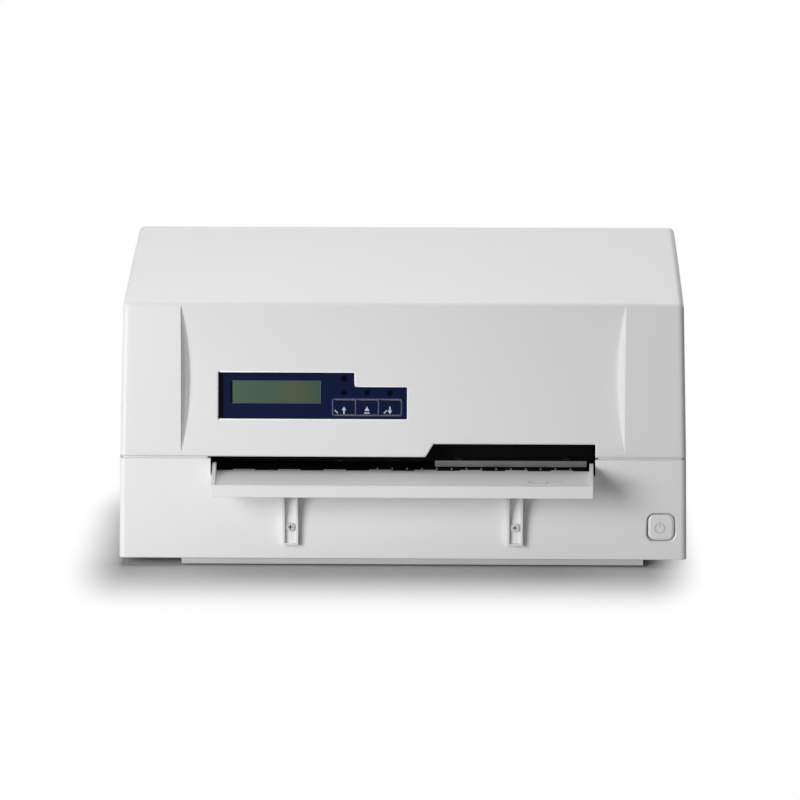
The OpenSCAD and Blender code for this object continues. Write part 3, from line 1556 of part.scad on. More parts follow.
module panel_screws() color(steel) on_panel()
    for (p = boss_spots) translate([p[0], p[1], board_face - pcb_t]) rotate([180, 0, 0])
        screw(2, 1, 6);

module key_cap(i) color(foil_navy) on_panel()
    translate([key_spots[i], -key_down, 0]) {
        translate([0, 0, foil_back]) linear_extrude(foil_t) key_outline(0);
        translate([0, 0, plunger_foot]) cylinder(h = foil_back - plunger_foot + eps, r = 2);
    }

module key_left() key_cap(0);
module key_middle() key_cap(1);
module key_right() key_cap(2);

lower_housing();
base_pan();
rubber_feet();
housing_screws();
front_table();
table_screws();
frame_left();
frame_right();
frame_ties();
lower_guide();
inner_guides();
upper_guides();
guide_bar();
platen_bar();
carriage_rod();
carriage_rail();
timing_belt();
belt_tensioner();
motor_bracket();
carriage_motor();
feed_motor();
roller_bushes();
gear_studs();
main_board();
power_supply();
power_inlet();
interface_sockets();
power_switch();
ribbon_cassette();
ribbon();
hinge_pins();
top_cover();
panel_foil();
lcd_module();
panel_board();
status_lights();
panel_screws();
key_left();
key_middle();
key_right();
power_button();
carriage();
print_head();
carriage_bushes();
ribbon_shield();
belt_clamp();
motor_pulley();
idler_pulley();
front_roller();
front_tyres();
rear_roller();
rear_tyres();
front_pinch_roller();
rear_pinch_roller();
idler_gear_front();
centre_gear();
idler_gear_rear();
feed_pinion();
ribbon_knob();
alignment_flap();
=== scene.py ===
import json
import math

import bmesh
import bpy
from mathutils import Matrix, Vector


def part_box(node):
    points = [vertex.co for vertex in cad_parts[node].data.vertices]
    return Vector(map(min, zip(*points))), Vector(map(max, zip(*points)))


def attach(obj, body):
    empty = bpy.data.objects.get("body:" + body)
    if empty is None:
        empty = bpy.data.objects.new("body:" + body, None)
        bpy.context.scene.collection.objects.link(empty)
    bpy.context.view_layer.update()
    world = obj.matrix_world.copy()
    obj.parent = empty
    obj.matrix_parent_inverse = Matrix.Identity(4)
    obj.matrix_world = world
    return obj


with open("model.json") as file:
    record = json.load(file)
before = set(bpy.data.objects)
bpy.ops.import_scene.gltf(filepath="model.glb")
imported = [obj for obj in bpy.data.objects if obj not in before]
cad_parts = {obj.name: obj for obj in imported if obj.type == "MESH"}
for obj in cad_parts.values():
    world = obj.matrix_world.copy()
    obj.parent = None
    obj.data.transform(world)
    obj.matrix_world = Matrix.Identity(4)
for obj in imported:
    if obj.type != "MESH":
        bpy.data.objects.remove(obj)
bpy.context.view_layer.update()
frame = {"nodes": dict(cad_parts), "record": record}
nodes = frame["nodes"]
mm = 0.001
print("frame loaded,", len(nodes), "nodes")


def linearColour(text):
    parts = [int(text[i:i + 2], 16) / 255 for i in (1, 3, 5)]
    return [p / 12.92 if p <= 0.04045 else ((p + 0.055) / 1.055) ** 2.4 for p in parts] + [1.0]


def addNode(tree, kind, values=None, links=None, **settings):
    node = tree.nodes.new(kind)
    for name, value in settings.items():
        setattr(node, name, value)
    for name, value in (values or {}).items():
        node.inputs[name].default_value = value
    for name, source in (links or {}).items():
        tree.links.new(source, node.inputs[name])
    return node


def startMaterial(name, **surface):
    material = bpy.data.materials.new(name)
    material.use_nodes = True
    tree = material.node_tree
    tree.nodes.clear()
    shader = addNode(tree, "ShaderNodeBsdfPrincipled", values=surface)
    addNode(tree, "ShaderNodeOutputMaterial", links={"Surface": shader.outputs[0]})
    place = addNode(tree, "ShaderNodeTexCoord").outputs["Object"]
    return material, tree, shader, place


def findNode(tree, kind):
    return next(node for node in tree.nodes if node.type == kind)


def pastBox(tree, place, middle, half):  # how far a point lies outside a box, along each axis
    offset = addNode(tree, "ShaderNodeVectorMath", operation="SUBTRACT", values={1: middle}, links={0: place})
    offset = addNode(tree, "ShaderNodeVectorMath", operation="ABSOLUTE", links={0: offset.outputs[0]})
    offset = addNode(tree, "ShaderNodeVectorMath", operation="SUBTRACT", values={1: half},
                     links={0: offset.outputs[0]})
    return offset.outputs[0]


def seenByCamera(tree):  # 1 for what the camera sees, also in a mirror or through glass
    rays = addNode(tree, "ShaderNodeLightPath")
    seen = rays.outputs["Is Camera Ray"]
    for kind in ("Is Glossy Ray", "Is Transmission Ray"):
        either = addNode(tree, "ShaderNodeMath", operation="MAXIMUM", use_clamp=True,
                         links={0: seen, 1: rays.outputs[kind]})
        seen = either.outputs[0]
    return seen


view = {
    "place": (0.044301, -3.229935, 0.768209),  # metres, in front of the printer
    "down": 11.798,  # degrees below the horizon
    "turn": -0.847,  # degrees to the left
    "roll": 0.062,
    "focal": 4753.81,  # in pixels of the 800 pixel picture
    "picture": 800,
    "sensor": 36,  # mm, as the focal length
    "far": 60,  # metres, beyond the backdrop
}

down, turn, roll = (math.radians(view[k]) for k in ("down", "turn", "roll"))
ahead = Vector((math.sin(turn) * math.cos(down), math.cos(turn) * math.cos(down), -math.sin(down)))
across = Vector((math.cos(turn), -math.sin(turn), 0))
upward = across.cross(ahead)
across, upward = (across * math.cos(roll) + upward * math.sin(roll),
                  upward * math.cos(roll) - across * math.sin(roll))
bpy.ops.object.select_all(action="DESELECT")
bpy.ops.object.camera_add(location=view["place"])
camera = bpy.context.object
camera.matrix_world = (Matrix.Translation(view["place"])
                       @ Matrix((across, upward, -ahead)).transposed().to_4x4())
camera.data.sensor_width = view["sensor"]
camera.data.lens = view["focal"] * view["sensor"] / view["picture"]
camera.data.clip_end = view["far"]
bpy.context.scene.camera = camera

studio = {
    "floor": "#BEBEBE",
    "floorSize": 30,  # metres
    # painted shade: seen by the camera, the floor keeps the paper's grey near the printer and fades to plain
    # white further off, reaching furthest to the left and front, like the printer's shadow
    "shadeMiddle": (-0.012, -0.03, 0),  # round this box the floor runs from the paper's
    "shadeHalf": (0.174, 0.07, 1),  # own grey to plain white, over these distances in metres
    "shadeReach": (0.045, 0.135, 1),
    "worldLevel": 0.05,
    "aim": (0, 0, 0.1),  # where every lamp points
    "lamps": {
        "keySoftbox": {"place": (-0.95, -1.27, 0.42), "size": 0.9, "power": 20},  # low, at the front left
        "topSoftbox": {"place": (0, 0.3, 2.2), "size": 2, "power": 16.5},
        "rearSoftbox": {"place": (-0.1, 1.6, 1.9), "size": 1.6, "power": 16},
    },
}

bpy.ops.mesh.primitive_plane_add(size=studio["floorSize"])
floor = bpy.context.object
floor.name = "floor"
paper = bpy.data.materials.new("matte studio paper")
paper.use_nodes = True
tree = paper.node_tree
tree.nodes.clear()
place = addNode(tree, "ShaderNodeTexCoord").outputs["Object"]
# painted shade round the printer: the paper's grey near it, plain white away from it
beside = addNode(tree, "ShaderNodeVectorMath", operation="MAXIMUM", values={1: (0, 0, 0)},
                 links={0: pastBox(tree, place, studio["shadeMiddle"], studio["shadeHalf"])})
beside = addNode(tree, "ShaderNodeVectorMath", operation="DIVIDE", values={1: studio["shadeReach"]},
                 links={0: beside.outputs[0]})
beside = addNode(tree, "ShaderNodeVectorMath", operation="LENGTH", links={0: beside.outputs[0]})
glow = addNode(tree, "ShaderNodeMapRange", interpolation_type="SMOOTHSTEP",
               links={"Value": beside.outputs["Value"]})
share = addNode(tree, "ShaderNodeMath", operation="MULTIPLY",
                links={0: seenByCamera(tree), 1: glow.outputs[0]})
matte = addNode(tree, "ShaderNodeBsdfDiffuse", values={"Color": linearColour(studio["floor"])})
white = addNode(tree, "ShaderNodeEmission", values={"Color": (1, 1, 1, 1), "Strength": 1})
mixed = addNode(tree, "ShaderNodeMixShader",
                links={0: share.outputs[0], 1: matte.outputs[0], 2: white.outputs[0]})
addNode(tree, "ShaderNodeOutputMaterial", links={"Surface": mixed.outputs[0]})
floor.data.materials.append(paper)

world = bpy.data.worlds.new("studio")
bpy.context.scene.world = world
world.use_nodes = True
tree = world.node_tree
tree.nodes.clear()
dim = addNode(tree, "ShaderNodeBackground",
              values={"Color": (1, 1, 1, 1), "Strength": studio["worldLevel"]})
bright = addNode(tree, "ShaderNodeBackground", values={"Color": (1, 1, 1, 1), "Strength": 1})
mixed = addNode(tree, "ShaderNodeMixShader",
                links={0: seenByCamera(tree), 1: dim.outputs[0], 2: bright.outputs[0]})
addNode(tree, "ShaderNodeOutputWorld", links={"Surface": mixed.outputs[0]})

for name, lamp in studio["lamps"].items():
    bpy.ops.object.light_add(type="AREA", location=lamp["place"])
    light = bpy.context.object
    light.name = name
    light.data.shape = "DISK"
    light.data.size = lamp["size"]
    light.data.energy = lamp["power"]
    light.rotation_euler = (Vector(studio["aim"]) - light.location).to_track_quat("-Z", "Y").to_euler()

bpy.context.scene.view_settings.view_transform = "Standard"
print("camera, light and floor are set")

# every finish: its colour and the shade that it drifts to over "cloud" mm, the grain's
# spacing along X, Y and Z and its depth in mm, and the roughness between its limits
finishes = {
    # moulded ABS with a spark-eroded grain: soft pale grey, the grain breaks every highlight;
    # the real 0.3 mm grain is drawn as 0.9 mm so that it shows
    "shell_white": {"name": "moulded ABS, cover", "colour": "#E5E5E5",
                    "shade": "#E2E2E2", "cloud": 90, "soft": 2.2,
                    "grain": (0.9, 0.9, 0.9), "depth": 0.006, "gloss": (0.38, 0.52),
                    "IOR": 1.54, "Specular IOR Level": 0.42},
    "shell_grey": {"name": "moulded ABS, housing", "colour": "#EBEBEB",
                   "shade": "#E8E8E8", "cloud": 70, "soft": 0.8,
                   "grain": (0.9, 0.9, 0.9), "depth": 0.006, "gloss": (0.38, 0.52),
                   "IOR": 1.54, "Specular IOR Level": 0.42},
    # the same ABS, whiter and glossier, so that it keeps a sharper highlight; on the bead round the foil the
    # whiter colour is a painted highlight
    "whiter_abs": {"name": "whiter ABS", "colour": "#FAFAFA", "shade": "#F6F6F6", "cloud": 30,
                      "grain": (1.5, 1.5, 1.5), "depth": 0.002, "gloss": (0.2, 0.26), "IOR": 1.54},
    # raised marks drawn a darker grey than the shell: painted shade
    "shaded_mark_grey": {"name": "moulded ABS, raised marks", "colour": "#C6C6C6", "shade": "#BEBEBE", "cloud": 4,
                  "grain": (0.9, 0.9, 0.9), "depth": 0.006, "gloss": (0.5, 0.62), "IOR": 1.54},
    # powder-coated steel: an orange-peel skin about 2 mm from crest to crest
    "pan_paint": {"name": "powder-coated steel", "colour": "#C6C6C4", "shade": "#BDBDBA", "cloud": 40,
                  "grain": (2, 2, 2), "depth": 0.03, "gloss": (0.4, 0.55), "IOR": 1.5},
    # nitrile rubber: ground, so matt and a little dusty
    "rubber": {"name": "ground nitrile rubber", "colour": "#1C1C1D", "shade": "#2A2A2A", "cloud": 6,
               "grain": (0.8, 0.8, 0.8), "depth": 0.03, "gloss": (0.75, 0.92), "IOR": 1.52},
    # zinc-plated sheet: cool and soft, with faint rolling marks along X
    "zinc": {"name": "zinc-plated sheet steel", "colour": "#BEC1C4", "shade": "#A9ADB2", "cloud": 14,
             "grain": (24, 0.7, 0.7), "depth": 0.008, "gloss": (0.3, 0.46), "Metallic": 1},
    # centreless ground steel: bright, with a fine lay round the bar
    "bright_steel": {"name": "ground steel bar", "colour": "#CFD1D3", "shade": "#BFC2C5", "cloud": 20,
                     "grain": (0.6, 9, 9), "depth": 0.004, "gloss": (0.16, 0.28), "Metallic": 1},
    # zinc-plated and passivated screws: a warmer grey than the sheet
    "screw_steel": {"name": "plated screw steel", "colour": "#D2D2CE", "shade": "#B9BAB5", "cloud": 1,
                    "grain": (0.7, 0.7, 0.7), "depth": 0.03, "gloss": (0.2, 0.32), "Metallic": 1},
    # black glass-filled moulding: grained, with a greyish bloom
    "black_plastic": {"name": "moulded black polycarbonate", "colour": "#121315",
                      "shade": "#191A1C", "cloud": 30,
                      "grain": (0.9, 0.9, 0.9), "depth": 0.01, "gloss": (0.42, 0.58),
                      "IOR": 1.58, "Specular IOR Level": 0.2},
    # black guide plates drawn darker and more matt than the black moulding: painted shade, so that the slot
    # stays dark
    "shaded_guide_black": {"name": "black guide plastic with painted shade", "colour": "#070708", "shade": "#0B0B0C", "cloud": 30,
                    "grain": (0.9, 0.9, 0.9), "depth": 0.01, "gloss": (0.5, 0.65),
                    "IOR": 1.5, "Specular IOR Level": 0.05},
    # steel bar in the shade of the cover, drawn dull and dark: painted shade
    "shaded_steel": {"name": "steel bar with painted shade", "colour": "#8A8B8D", "shade": "#68696B", "cloud": 30,
                    "grain": (9, 0.6, 0.6), "depth": 0.004, "gloss": (0.3, 0.42), "Metallic": 1},
    # stove enamel on the motor cans: darker and glossier than the mouldings
    "black_motor": {"name": "stove-enamelled motor can", "colour": "#17181A", "shade": "#202124", "cloud": 12,
                    "grain": (1.6, 1.6, 1.6), "depth": 0.02, "gloss": (0.22, 0.36), "IOR": 1.5},
    # neoprene belt with a woven face along its run
    "belt_rubber": {"name": "fabric-faced neoprene belt", "colour": "#191919", "shade": "#242424", "cloud": 8,
                    "grain": (0.8, 2.4, 0.6), "depth": 0.05, "gloss": (0.6, 0.78), "IOR": 1.52},
    # oil-filled sintered bronze: dull gold with open pores
    "bronze": {"name": "sintered bronze", "colour": "#B4824F", "shade": "#96693E", "cloud": 2,
               "grain": (0.7, 0.7, 0.7), "depth": 0.02, "gloss": (0.35, 0.55), "Metallic": 1},
    # natural acetal: milky white and slightly waxy
    "nylon": {"name": "natural acetal", "colour": "#ECEAE1", "shade": "#E3E0D4", "cloud": 10,
              "grain": (1.2, 1.2, 1.2), "depth": 0.006, "gloss": (0.3, 0.42), "IOR": 1.48},
    # die-cast aluminium: grey skin with flow marks
    "cast_aluminium": {"name": "die-cast aluminium", "colour": "#9A9DA1", "shade": "#85888D", "cloud": 6,
                       "grain": (1, 1, 1), "depth": 0.03, "gloss": (0.4, 0.56), "Metallic": 1},
    # green solder mask over etched copper: tracks stand out a little lighter
    "board_green": {"name": "solder-masked circuit board", "colour": "#1C5738",
                    "shade": "#17492F", "cloud": 16,
                    "grain": (1.3, 1.3, 1.3), "depth": 0.01, "gloss": (0.25, 0.4), "IOR": 1.5},
    # back-printed polyester foil: deep navy under a fine satin skin
    "foil_navy": {"name": "back-printed polyester foil", "colour": "#0E1A3E", "shade": "#0C1631", "cloud": 26,
                  "grain": (0.9, 0.9, 0.9), "depth": 0.004, "gloss": (0.36, 0.46),
                  "IOR": 1.6, "Specular IOR Level": 0.03},
    # smoked lens of an unlit light: nearly black, glossy
    "led_lens": {"name": "smoked lens", "colour": "#04060C", "shade": "#070A12", "cloud": 2,
                 "grain": (0.8, 0.8, 0.8), "depth": 0.002, "gloss": (0.14, 0.2),
                 "IOR": 1.5, "Specular IOR Level": 0.02},
    # inked nylon weave: matt black threads, drawn at 0.8 mm instead of 0.1 mm
    "ribbon_fabric": {"name": "inked nylon ribbon", "colour": "#121214", "shade": "#1C1C20", "cloud": 3,
                      "grain": (0.8, 0.8, 0.8), "depth": 0.03, "gloss": (0.7, 0.85), "IOR": 1.53},
    # screen-printed epoxy ink: pale, matt, a little uneven
    "pale_ink": {"name": "pale screen ink", "colour": "#C9CCD6", "shade": "#B7BBC8", "cloud": 1.5,
                 "grain": (0.5, 0.5, 0.5), "depth": 0.004, "gloss": (0.5, 0.65), "IOR": 1.5},
    "dull_ink": {"name": "blue-grey screen ink", "colour": "#4A5070", "shade": "#3C4260", "cloud": 1.5,
                 "grain": (0.5, 0.5, 0.5), "depth": 0.004, "gloss": (0.45, 0.6), "IOR": 1.5},
    "scale_ink": {"name": "grey scale ink", "colour": "#C2C4C8", "shade": "#B0B2B6", "cloud": 2,
                  "grain": (0.5, 0.5, 0.5), "depth": 0.004, "gloss": (0.5, 0.65), "IOR": 1.5},
    # painted highlight along the edges of the display window
    "window_highlight": {"name": "edge of the display window", "colour": "#5A6864", "shade": "#505E5C", "cloud": 8,
                    "grain": (0.5, 0.5, 0.5), "depth": 0.002, "gloss": (0.4, 0.5),
                    "IOR": 1.5, "Specular IOR Level": 0.1},
    # gold flash on nickel: connector contacts
    "gold": {"name": "gold-flashed contacts", "colour": "#D9B45C", "shade": "#C7A049", "cloud": 2,
             "grain": (0.8, 0.8, 0.8), "depth": 0.004, "gloss": (0.2, 0.32), "Metallic": 1},
    # tin-plated component legs
    "tin": {"name": "tinned copper", "colour": "#C4C5C3", "shade": "#ADAEAB", "cloud": 2,
            "grain": (0.8, 0.8, 0.8), "depth": 0.006, "gloss": (0.25, 0.4), "Metallic": 1},
}


texture = {"cloudDetail": 3, "grainDetail": 2, "grainRoughness": 0.6,
           "grainSpan": (0.3, 0.7),  # the part of the noise's span that the gloss follows
           "cornerSamples": 6}


def makeFinish(look):
    shared = {key: look[key] for key in ("IOR", "Metallic", "Specular IOR Level") if key in look}
    material, tree, shader, place = startMaterial(look["name"], **shared)
    drift = addNode(tree, "ShaderNodeTexNoise", links={"Vector": place},
                    values={"Scale": 1 / (look["cloud"] * mm), "Detail": texture["cloudDetail"]})
    tint = addNode(tree, "ShaderNodeMix", data_type="RGBA", links={0: drift.outputs["Fac"]},
                   values={6: linearColour(look["colour"]), 7: linearColour(look["shade"])})
    stretched = addNode(tree, "ShaderNodeMapping", links={"Vector": place},
                        values={"Scale": [1 / (s * mm) for s in look["grain"]]})
    grain = addNode(tree, "ShaderNodeTexNoise", links={"Vector": stretched.outputs[0]},
                    values={"Scale": 1, "Detail": texture["grainDetail"],
                            "Roughness": texture["grainRoughness"]})
    gloss = addNode(tree, "ShaderNodeMapRange", links={"Value": grain.outputs["Fac"]},
                    values={"From Min": texture["grainSpan"][0], "From Max": texture["grainSpan"][1],
                            "To Min": look["gloss"][0], "To Max": look["gloss"][1]})
    bump = addNode(tree, "ShaderNodeBump", values={"Strength": 1, "Distance": look["depth"] * mm},
                   links={"Height": grain.outputs["Fac"]})
    if "soft" in look:  # the mould's rounded corners, in mm, where the light runs over an edge
        rounding = addNode(tree, "ShaderNodeBevel", samples=texture["cornerSamples"],
                           values={"Radius": look["soft"] * mm})
        tree.links.new(rounding.outputs[0], bump.inputs["Normal"])
    tree.links.new(tint.outputs[2], shader.inputs["Base Color"])
    tree.links.new(gloss.outputs[0], shader.inputs["Roughness"])
    tree.links.new(bump.outputs[0], shader.inputs["Normal"])
    return material


# a part that the frame keeps as one node but that is made of several pieces is painted by
# place: each zone is a box in mm and a finish, of which the plain colour, the mean roughness
# and the metal share are used
def addZones(material, zones):
    tree = material.node_tree
    shader = findNode(tree, "BSDF_PRINCIPLED")
    place = findNode(tree, "TEX_COORD").outputs["Object"]
    colour = shader.inputs["Base Color"].links[0].from_socket
    rough = shader.inputs["Roughness"].links[0].from_socket
    metal = None
    start = shader.inputs["Metallic"].default_value
    for low, high, slot in zones:
        look = finishes[slot] if isinstance(slot, str) else slot
        centre = [(a + b) / 2 * mm for a, b in zip(low, high)]
        half = [(b - a) / 2 * mm for a, b in zip(low, high)]
        sides = addNode(tree, "ShaderNodeSeparateXYZ", links={0: pastBox(tree, place, centre, half)})
        most = addNode(tree, "ShaderNodeMath", operation="MAXIMUM",
                       links={0: sides.outputs[0], 1: sides.outputs[1]})
        most = addNode(tree, "ShaderNodeMath", operation="MAXIMUM",
                       links={0: most.outputs[0], 1: sides.outputs[2]})
        inside = addNode(tree, "ShaderNodeMath", operation="LESS_THAN", values={1: 0},
                         links={0: most.outputs[0]})
        paint = addNode(tree, "ShaderNodeMix", data_type="RGBA", values={7: linearColour(look["colour"])},
                        links={0: inside.outputs[0], 6: colour})
        colour = paint.outputs[2]
        smooth = addNode(tree, "ShaderNodeMix", data_type="FLOAT", values={3: sum(look["gloss"]) / 2},
                         links={0: inside.outputs[0], 2: rough})
        rough = smooth.outputs[0]
        step = addNode(tree, "ShaderNodeMix", data_type="FLOAT", links={0: inside.outputs[0]},
                       values={2: start, 3: look.get("Metallic", 0)})
        if metal is not None:
            tree.links.new(metal, step.inputs[2])
        metal = step.outputs[0]
    tree.links.new(colour, shader.inputs["Base Color"])
    tree.links.new(rough, shader.inputs["Roughness"])
    tree.links.new(metal, shader.inputs["Metallic"])


made = {slot: makeFinish(look) for slot, look in finishes.items()}

# the hollow's side walls run out into its floor: the light is turned over them as on a wall
# that is steep at the pillar's edge and flattens inwards, and their own edges stay crisp
hollow = {
    "edge": 149.7,  # mm from the middle to the pillar's edge
    "run": 8.2,  # mm that a wall is wide at mid height; it narrows to nothing at both ends
    "thinnest": 0.01,
    "middle": 127.9, "half": 49.1,  # mm, height of the hollow's middle and half its height
    "steep": 2.6, "power": 2.2,  # slope at the edge and how fast it falls
    "crisp": 3.2,  # mm to each side of the edge without the mould's rounding
    "front": -50,  # mm along Y; behind it nothing changes
}
tree = made["shell_white"].node_tree
place = findNode(tree, "TEX_COORD").outputs["Object"]
bump = findNode(tree, "BUMP")
rounded = bump.inputs["Normal"].links[0].from_socket
plain = addNode(tree, "ShaderNodeNewGeometry").outputs["Normal"]
sides = addNode(tree, "ShaderNodeSeparateXYZ", links={0: place})
away = addNode(tree, "ShaderNodeMath", operation="ABSOLUTE", links={0: sides.outputs[0]})
inward = addNode(tree, "ShaderNodeMath", operation="SUBTRACT", values={0: hollow["edge"] * mm},
                 links={1: away.outputs[0]})
up = addNode(tree, "ShaderNodeMapRange", clamp=False, links={"Value": sides.outputs[2]},
             values={"From Min": (hollow["middle"] - hollow["half"]) * mm, "To Min": -1,
                     "From Max": (hollow["middle"] + hollow["half"]) * mm, "To Max": 1})
depth = addNode(tree, "ShaderNodeMath", operation="MULTIPLY", links={0: up.outputs[0], 1: up.outputs[0]})
width = addNode(tree, "ShaderNodeMapRange", links={"Value": depth.outputs[0]},
                values={"To Min": hollow["run"] * mm, "To Max": hollow["thinnest"] * mm})
share = addNode(tree, "ShaderNodeMath", operation="DIVIDE",
                links={0: inward.outputs[0], 1: width.outputs[0]})

# the turned normal: the surface's own, less its lean along X, plus the wall's slope
left = addNode(tree, "ShaderNodeMath", operation="SUBTRACT", use_clamp=True, values={0: 1},
               links={1: share.outputs[0]})
slope = addNode(tree, "ShaderNodeMath", operation="POWER", values={1: hollow["power"]},
                links={0: left.outputs[0]})
slope = addNode(tree, "ShaderNodeMath", operation="MULTIPLY", values={1: -hollow["steep"]},
                links={0: slope.outputs[0]})
facing = addNode(tree, "ShaderNodeMath", operation="SIGN", links={0: sides.outputs[0]})
slope = addNode(tree, "ShaderNodeMath", operation="MULTIPLY",
                links={0: slope.outputs[0], 1: facing.outputs[0]})
slope = addNode(tree, "ShaderNodeCombineXYZ", links={0: slope.outputs[0]})
upright = addNode(tree, "ShaderNodeVectorMath", operation="MULTIPLY", values={1: (0, 1, 1)},
                  links={0: plain})
upright = addNode(tree, "ShaderNodeVectorMath", operation="NORMALIZE", links={0: upright.outputs[0]})
turned = addNode(tree, "ShaderNodeVectorMath", operation="ADD",
                 links={0: upright.outputs[0], 1: slope.outputs[0]})
turned = addNode(tree, "ShaderNodeVectorMath", operation="NORMALIZE", links={0: turned.outputs[0]})

# where it applies: the front, the walls' width, and the crisp strip beside the edge
front = addNode(tree, "ShaderNodeMath", operation="LESS_THAN", values={1: hollow["front"] * mm},
                links={0: sides.outputs[1]})
beside = addNode(tree, "ShaderNodeMath", operation="LESS_THAN", values={1: 1}, links={0: depth.outputs[0]})
near = addNode(tree, "ShaderNodeMath", operation="ABSOLUTE", links={0: inward.outputs[0]})
near = addNode(tree, "ShaderNodeMath", operation="LESS_THAN", values={1: hollow["crisp"] * mm},
               links={0: near.outputs[0]})
begun = addNode(tree, "ShaderNodeMath", operation="GREATER_THAN", values={1: 0}, links={0: share.outputs[0]})
within = addNode(tree, "ShaderNodeMath", operation="LESS_THAN", values={1: 1}, links={0: share.outputs[0]})
zones = []
for parts in ((near, front, beside), (begun, front, within)):
    zone = parts[0]
    for part in parts[1:]:
        zone = addNode(tree, "ShaderNodeMath", operation="MULTIPLY",
                       links={0: zone.outputs[0], 1: part.outputs[0]})
    zones.append(zone.outputs[0])
crisp = addNode(tree, "ShaderNodeMix", data_type="VECTOR", links={0: zones[0], 4: rounded, 5: plain})
wall = addNode(tree, "ShaderNodeMix", data_type="VECTOR",
               links={0: zones[1], 4: crisp.outputs[1], 5: turned.outputs[0]})
tree.links.new(wall.outputs[1], bump.inputs["Normal"])

# reflective liquid crystal display: grey-green glass over a faint grid of cells, painted lighter at
# the left and darker at the right as the light falls, with a brownish patch towards the right
display = {
    "left": "#4C6150", "right": "#3E5346", "patch": "#4F5A42",
    "patchAt": -73, "patchHalf": 18,  # mm along X
    "patchShare": 0.8,
    "cell": (3.0, 6.0),  # mm between characters and rows
    "gap": 0.3,  # mm, half the line between two cells
    "cellShade": 0.985,
    "surface": {"Roughness": 0.3, "IOR": 1.52, "Specular IOR Level": 0.12},
}
made["lcd_glass"], tree, shader, place = startMaterial("liquid crystal display", **display["surface"])
low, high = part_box("lcd_module")
sides = addNode(tree, "ShaderNodeSeparateXYZ", links={0: place})
along = addNode(tree, "ShaderNodeMapRange", links={"Value": sides.outputs[0]},
                values={"From Min": low.x, "From Max": high.x})
# painted shading: lighter at the left, darker at the right
glass = addNode(tree, "ShaderNodeMix", data_type="RGBA", links={0: along.outputs[0]},
                values={6: linearColour(display["left"]), 7: linearColour(display["right"])})
patch = addNode(tree, "ShaderNodeMath", operation="SUBTRACT", values={1: display["patchAt"] * mm},
                links={0: sides.outputs[0]})
patch = addNode(tree, "ShaderNodeMath", operation="ABSOLUTE", links={0: patch.outputs[0]})
patch = addNode(tree, "ShaderNodeMapRange", interpolation_type="SMOOTHSTEP",
                links={"Value": patch.outputs[0]},
                values={"From Min": 0, "From Max": display["patchHalf"] * mm,
                        "To Min": display["patchShare"], "To Max": 0})
glass = addNode(tree, "ShaderNodeMix", data_type="RGBA", links={0: patch.outputs[0], 6: glass.outputs[2]},
                values={7: linearColour(display["patch"])})
shade = glass.outputs[2]
for axis, pitch in ((0, display["cell"][0]), (2, display["cell"][1])):
    wave = addNode(tree, "ShaderNodeMath", operation="PINGPONG", values={1: pitch * mm / 2},
                   links={0: sides.outputs[axis]})
    gap = addNode(tree, "ShaderNodeMath", operation="LESS_THAN", values={1: display["gap"] * mm},
                  links={0: wave.outputs[0]})
    darker = addNode(tree, "ShaderNodeMix", data_type="RGBA", blend_type="MULTIPLY",
                     links={0: gap.outputs[0], 6: shade}, values={7: (display["cellShade"],) * 3 + (1,)})
    shade = darker.outputs[2]
tree.links.new(shade, shader.inputs["Base Color"])

# copper tracks under the solder mask: rows of lines that step over to the next row
tracks = {"colour": "#2F7A50", "step": 0.37, "long": 14, "pitch": 2.54, "wide": 0.35}  # mm
tree = made["board_green"].node_tree
shader = findNode(tree, "BSDF_PRINCIPLED")
place = findNode(tree, "TEX_COORD").outputs["Object"]
boardTint = shader.inputs["Base Color"].links[0].from_socket
lines = addNode(tree, "ShaderNodeTexBrick", offset=tracks["step"], squash=1, links={"Vector": place},
                values={"Scale": 1 / mm, "Brick Width": tracks["long"], "Row Height": tracks["pitch"],
                        "Mortar Size": tracks["wide"], "Color1": (0, 0, 0, 1), "Color2": (0, 0, 0, 1),
                        "Mortar": (1, 1, 1, 1)})
masked = addNode(tree, "ShaderNodeMix", data_type="RGBA", values={7: linearColour(tracks["colour"])},
                 links={0: lines.outputs["Fac"], 6: boardTint})
tree.links.new(masked.outputs[2], shader.inputs["Base Color"])

aluminium = finishes["cast_aluminium"]
sleeve = {"colour": "#26365F", "gloss": (0.3, 0.4)}  # sleeve of an electrolytic capacitor
tape = {"colour": "#C7A63A", "gloss": (0.4, 0.5)}  # winding tape of the transformer
recessShade = {"colour": "#141414", "gloss": (0.6, 0.7)}  # painted shade inside the cross of a screw head
boardSize = {"wide": 130, "deep": 98, "under": 6.98, "top": 8.6, "clear": 0.02, "parts": 30}  # mm
supplyHeight = {"board": 7.65, "canTop": 31.9, "parts": 40}  # mm above its lowest face
gearMargin = 0.2  # mm
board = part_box("main_board")[0] / mm  # its left, front and lowest corner
boardTop = board.z + boardSize["top"]
boardRight, rear = board.x + boardSize["wide"], board.y + boardSize["deep"]
base, roof = boardTop + boardSize["clear"], boardTop + boardSize["parts"]
sx, sy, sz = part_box("power_supply")[0] / mm
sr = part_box("power_supply")[1].y / mm  # the supply's rear face
plate, cans, lid = (sz + supplyHeight[key] for key in ("board", "canTop", "parts"))
gearLow, gearHigh = (corner.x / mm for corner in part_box("idler_gear_rear"))
gearLow, gearHigh = gearLow - gearMargin, gearHigh + gearMargin
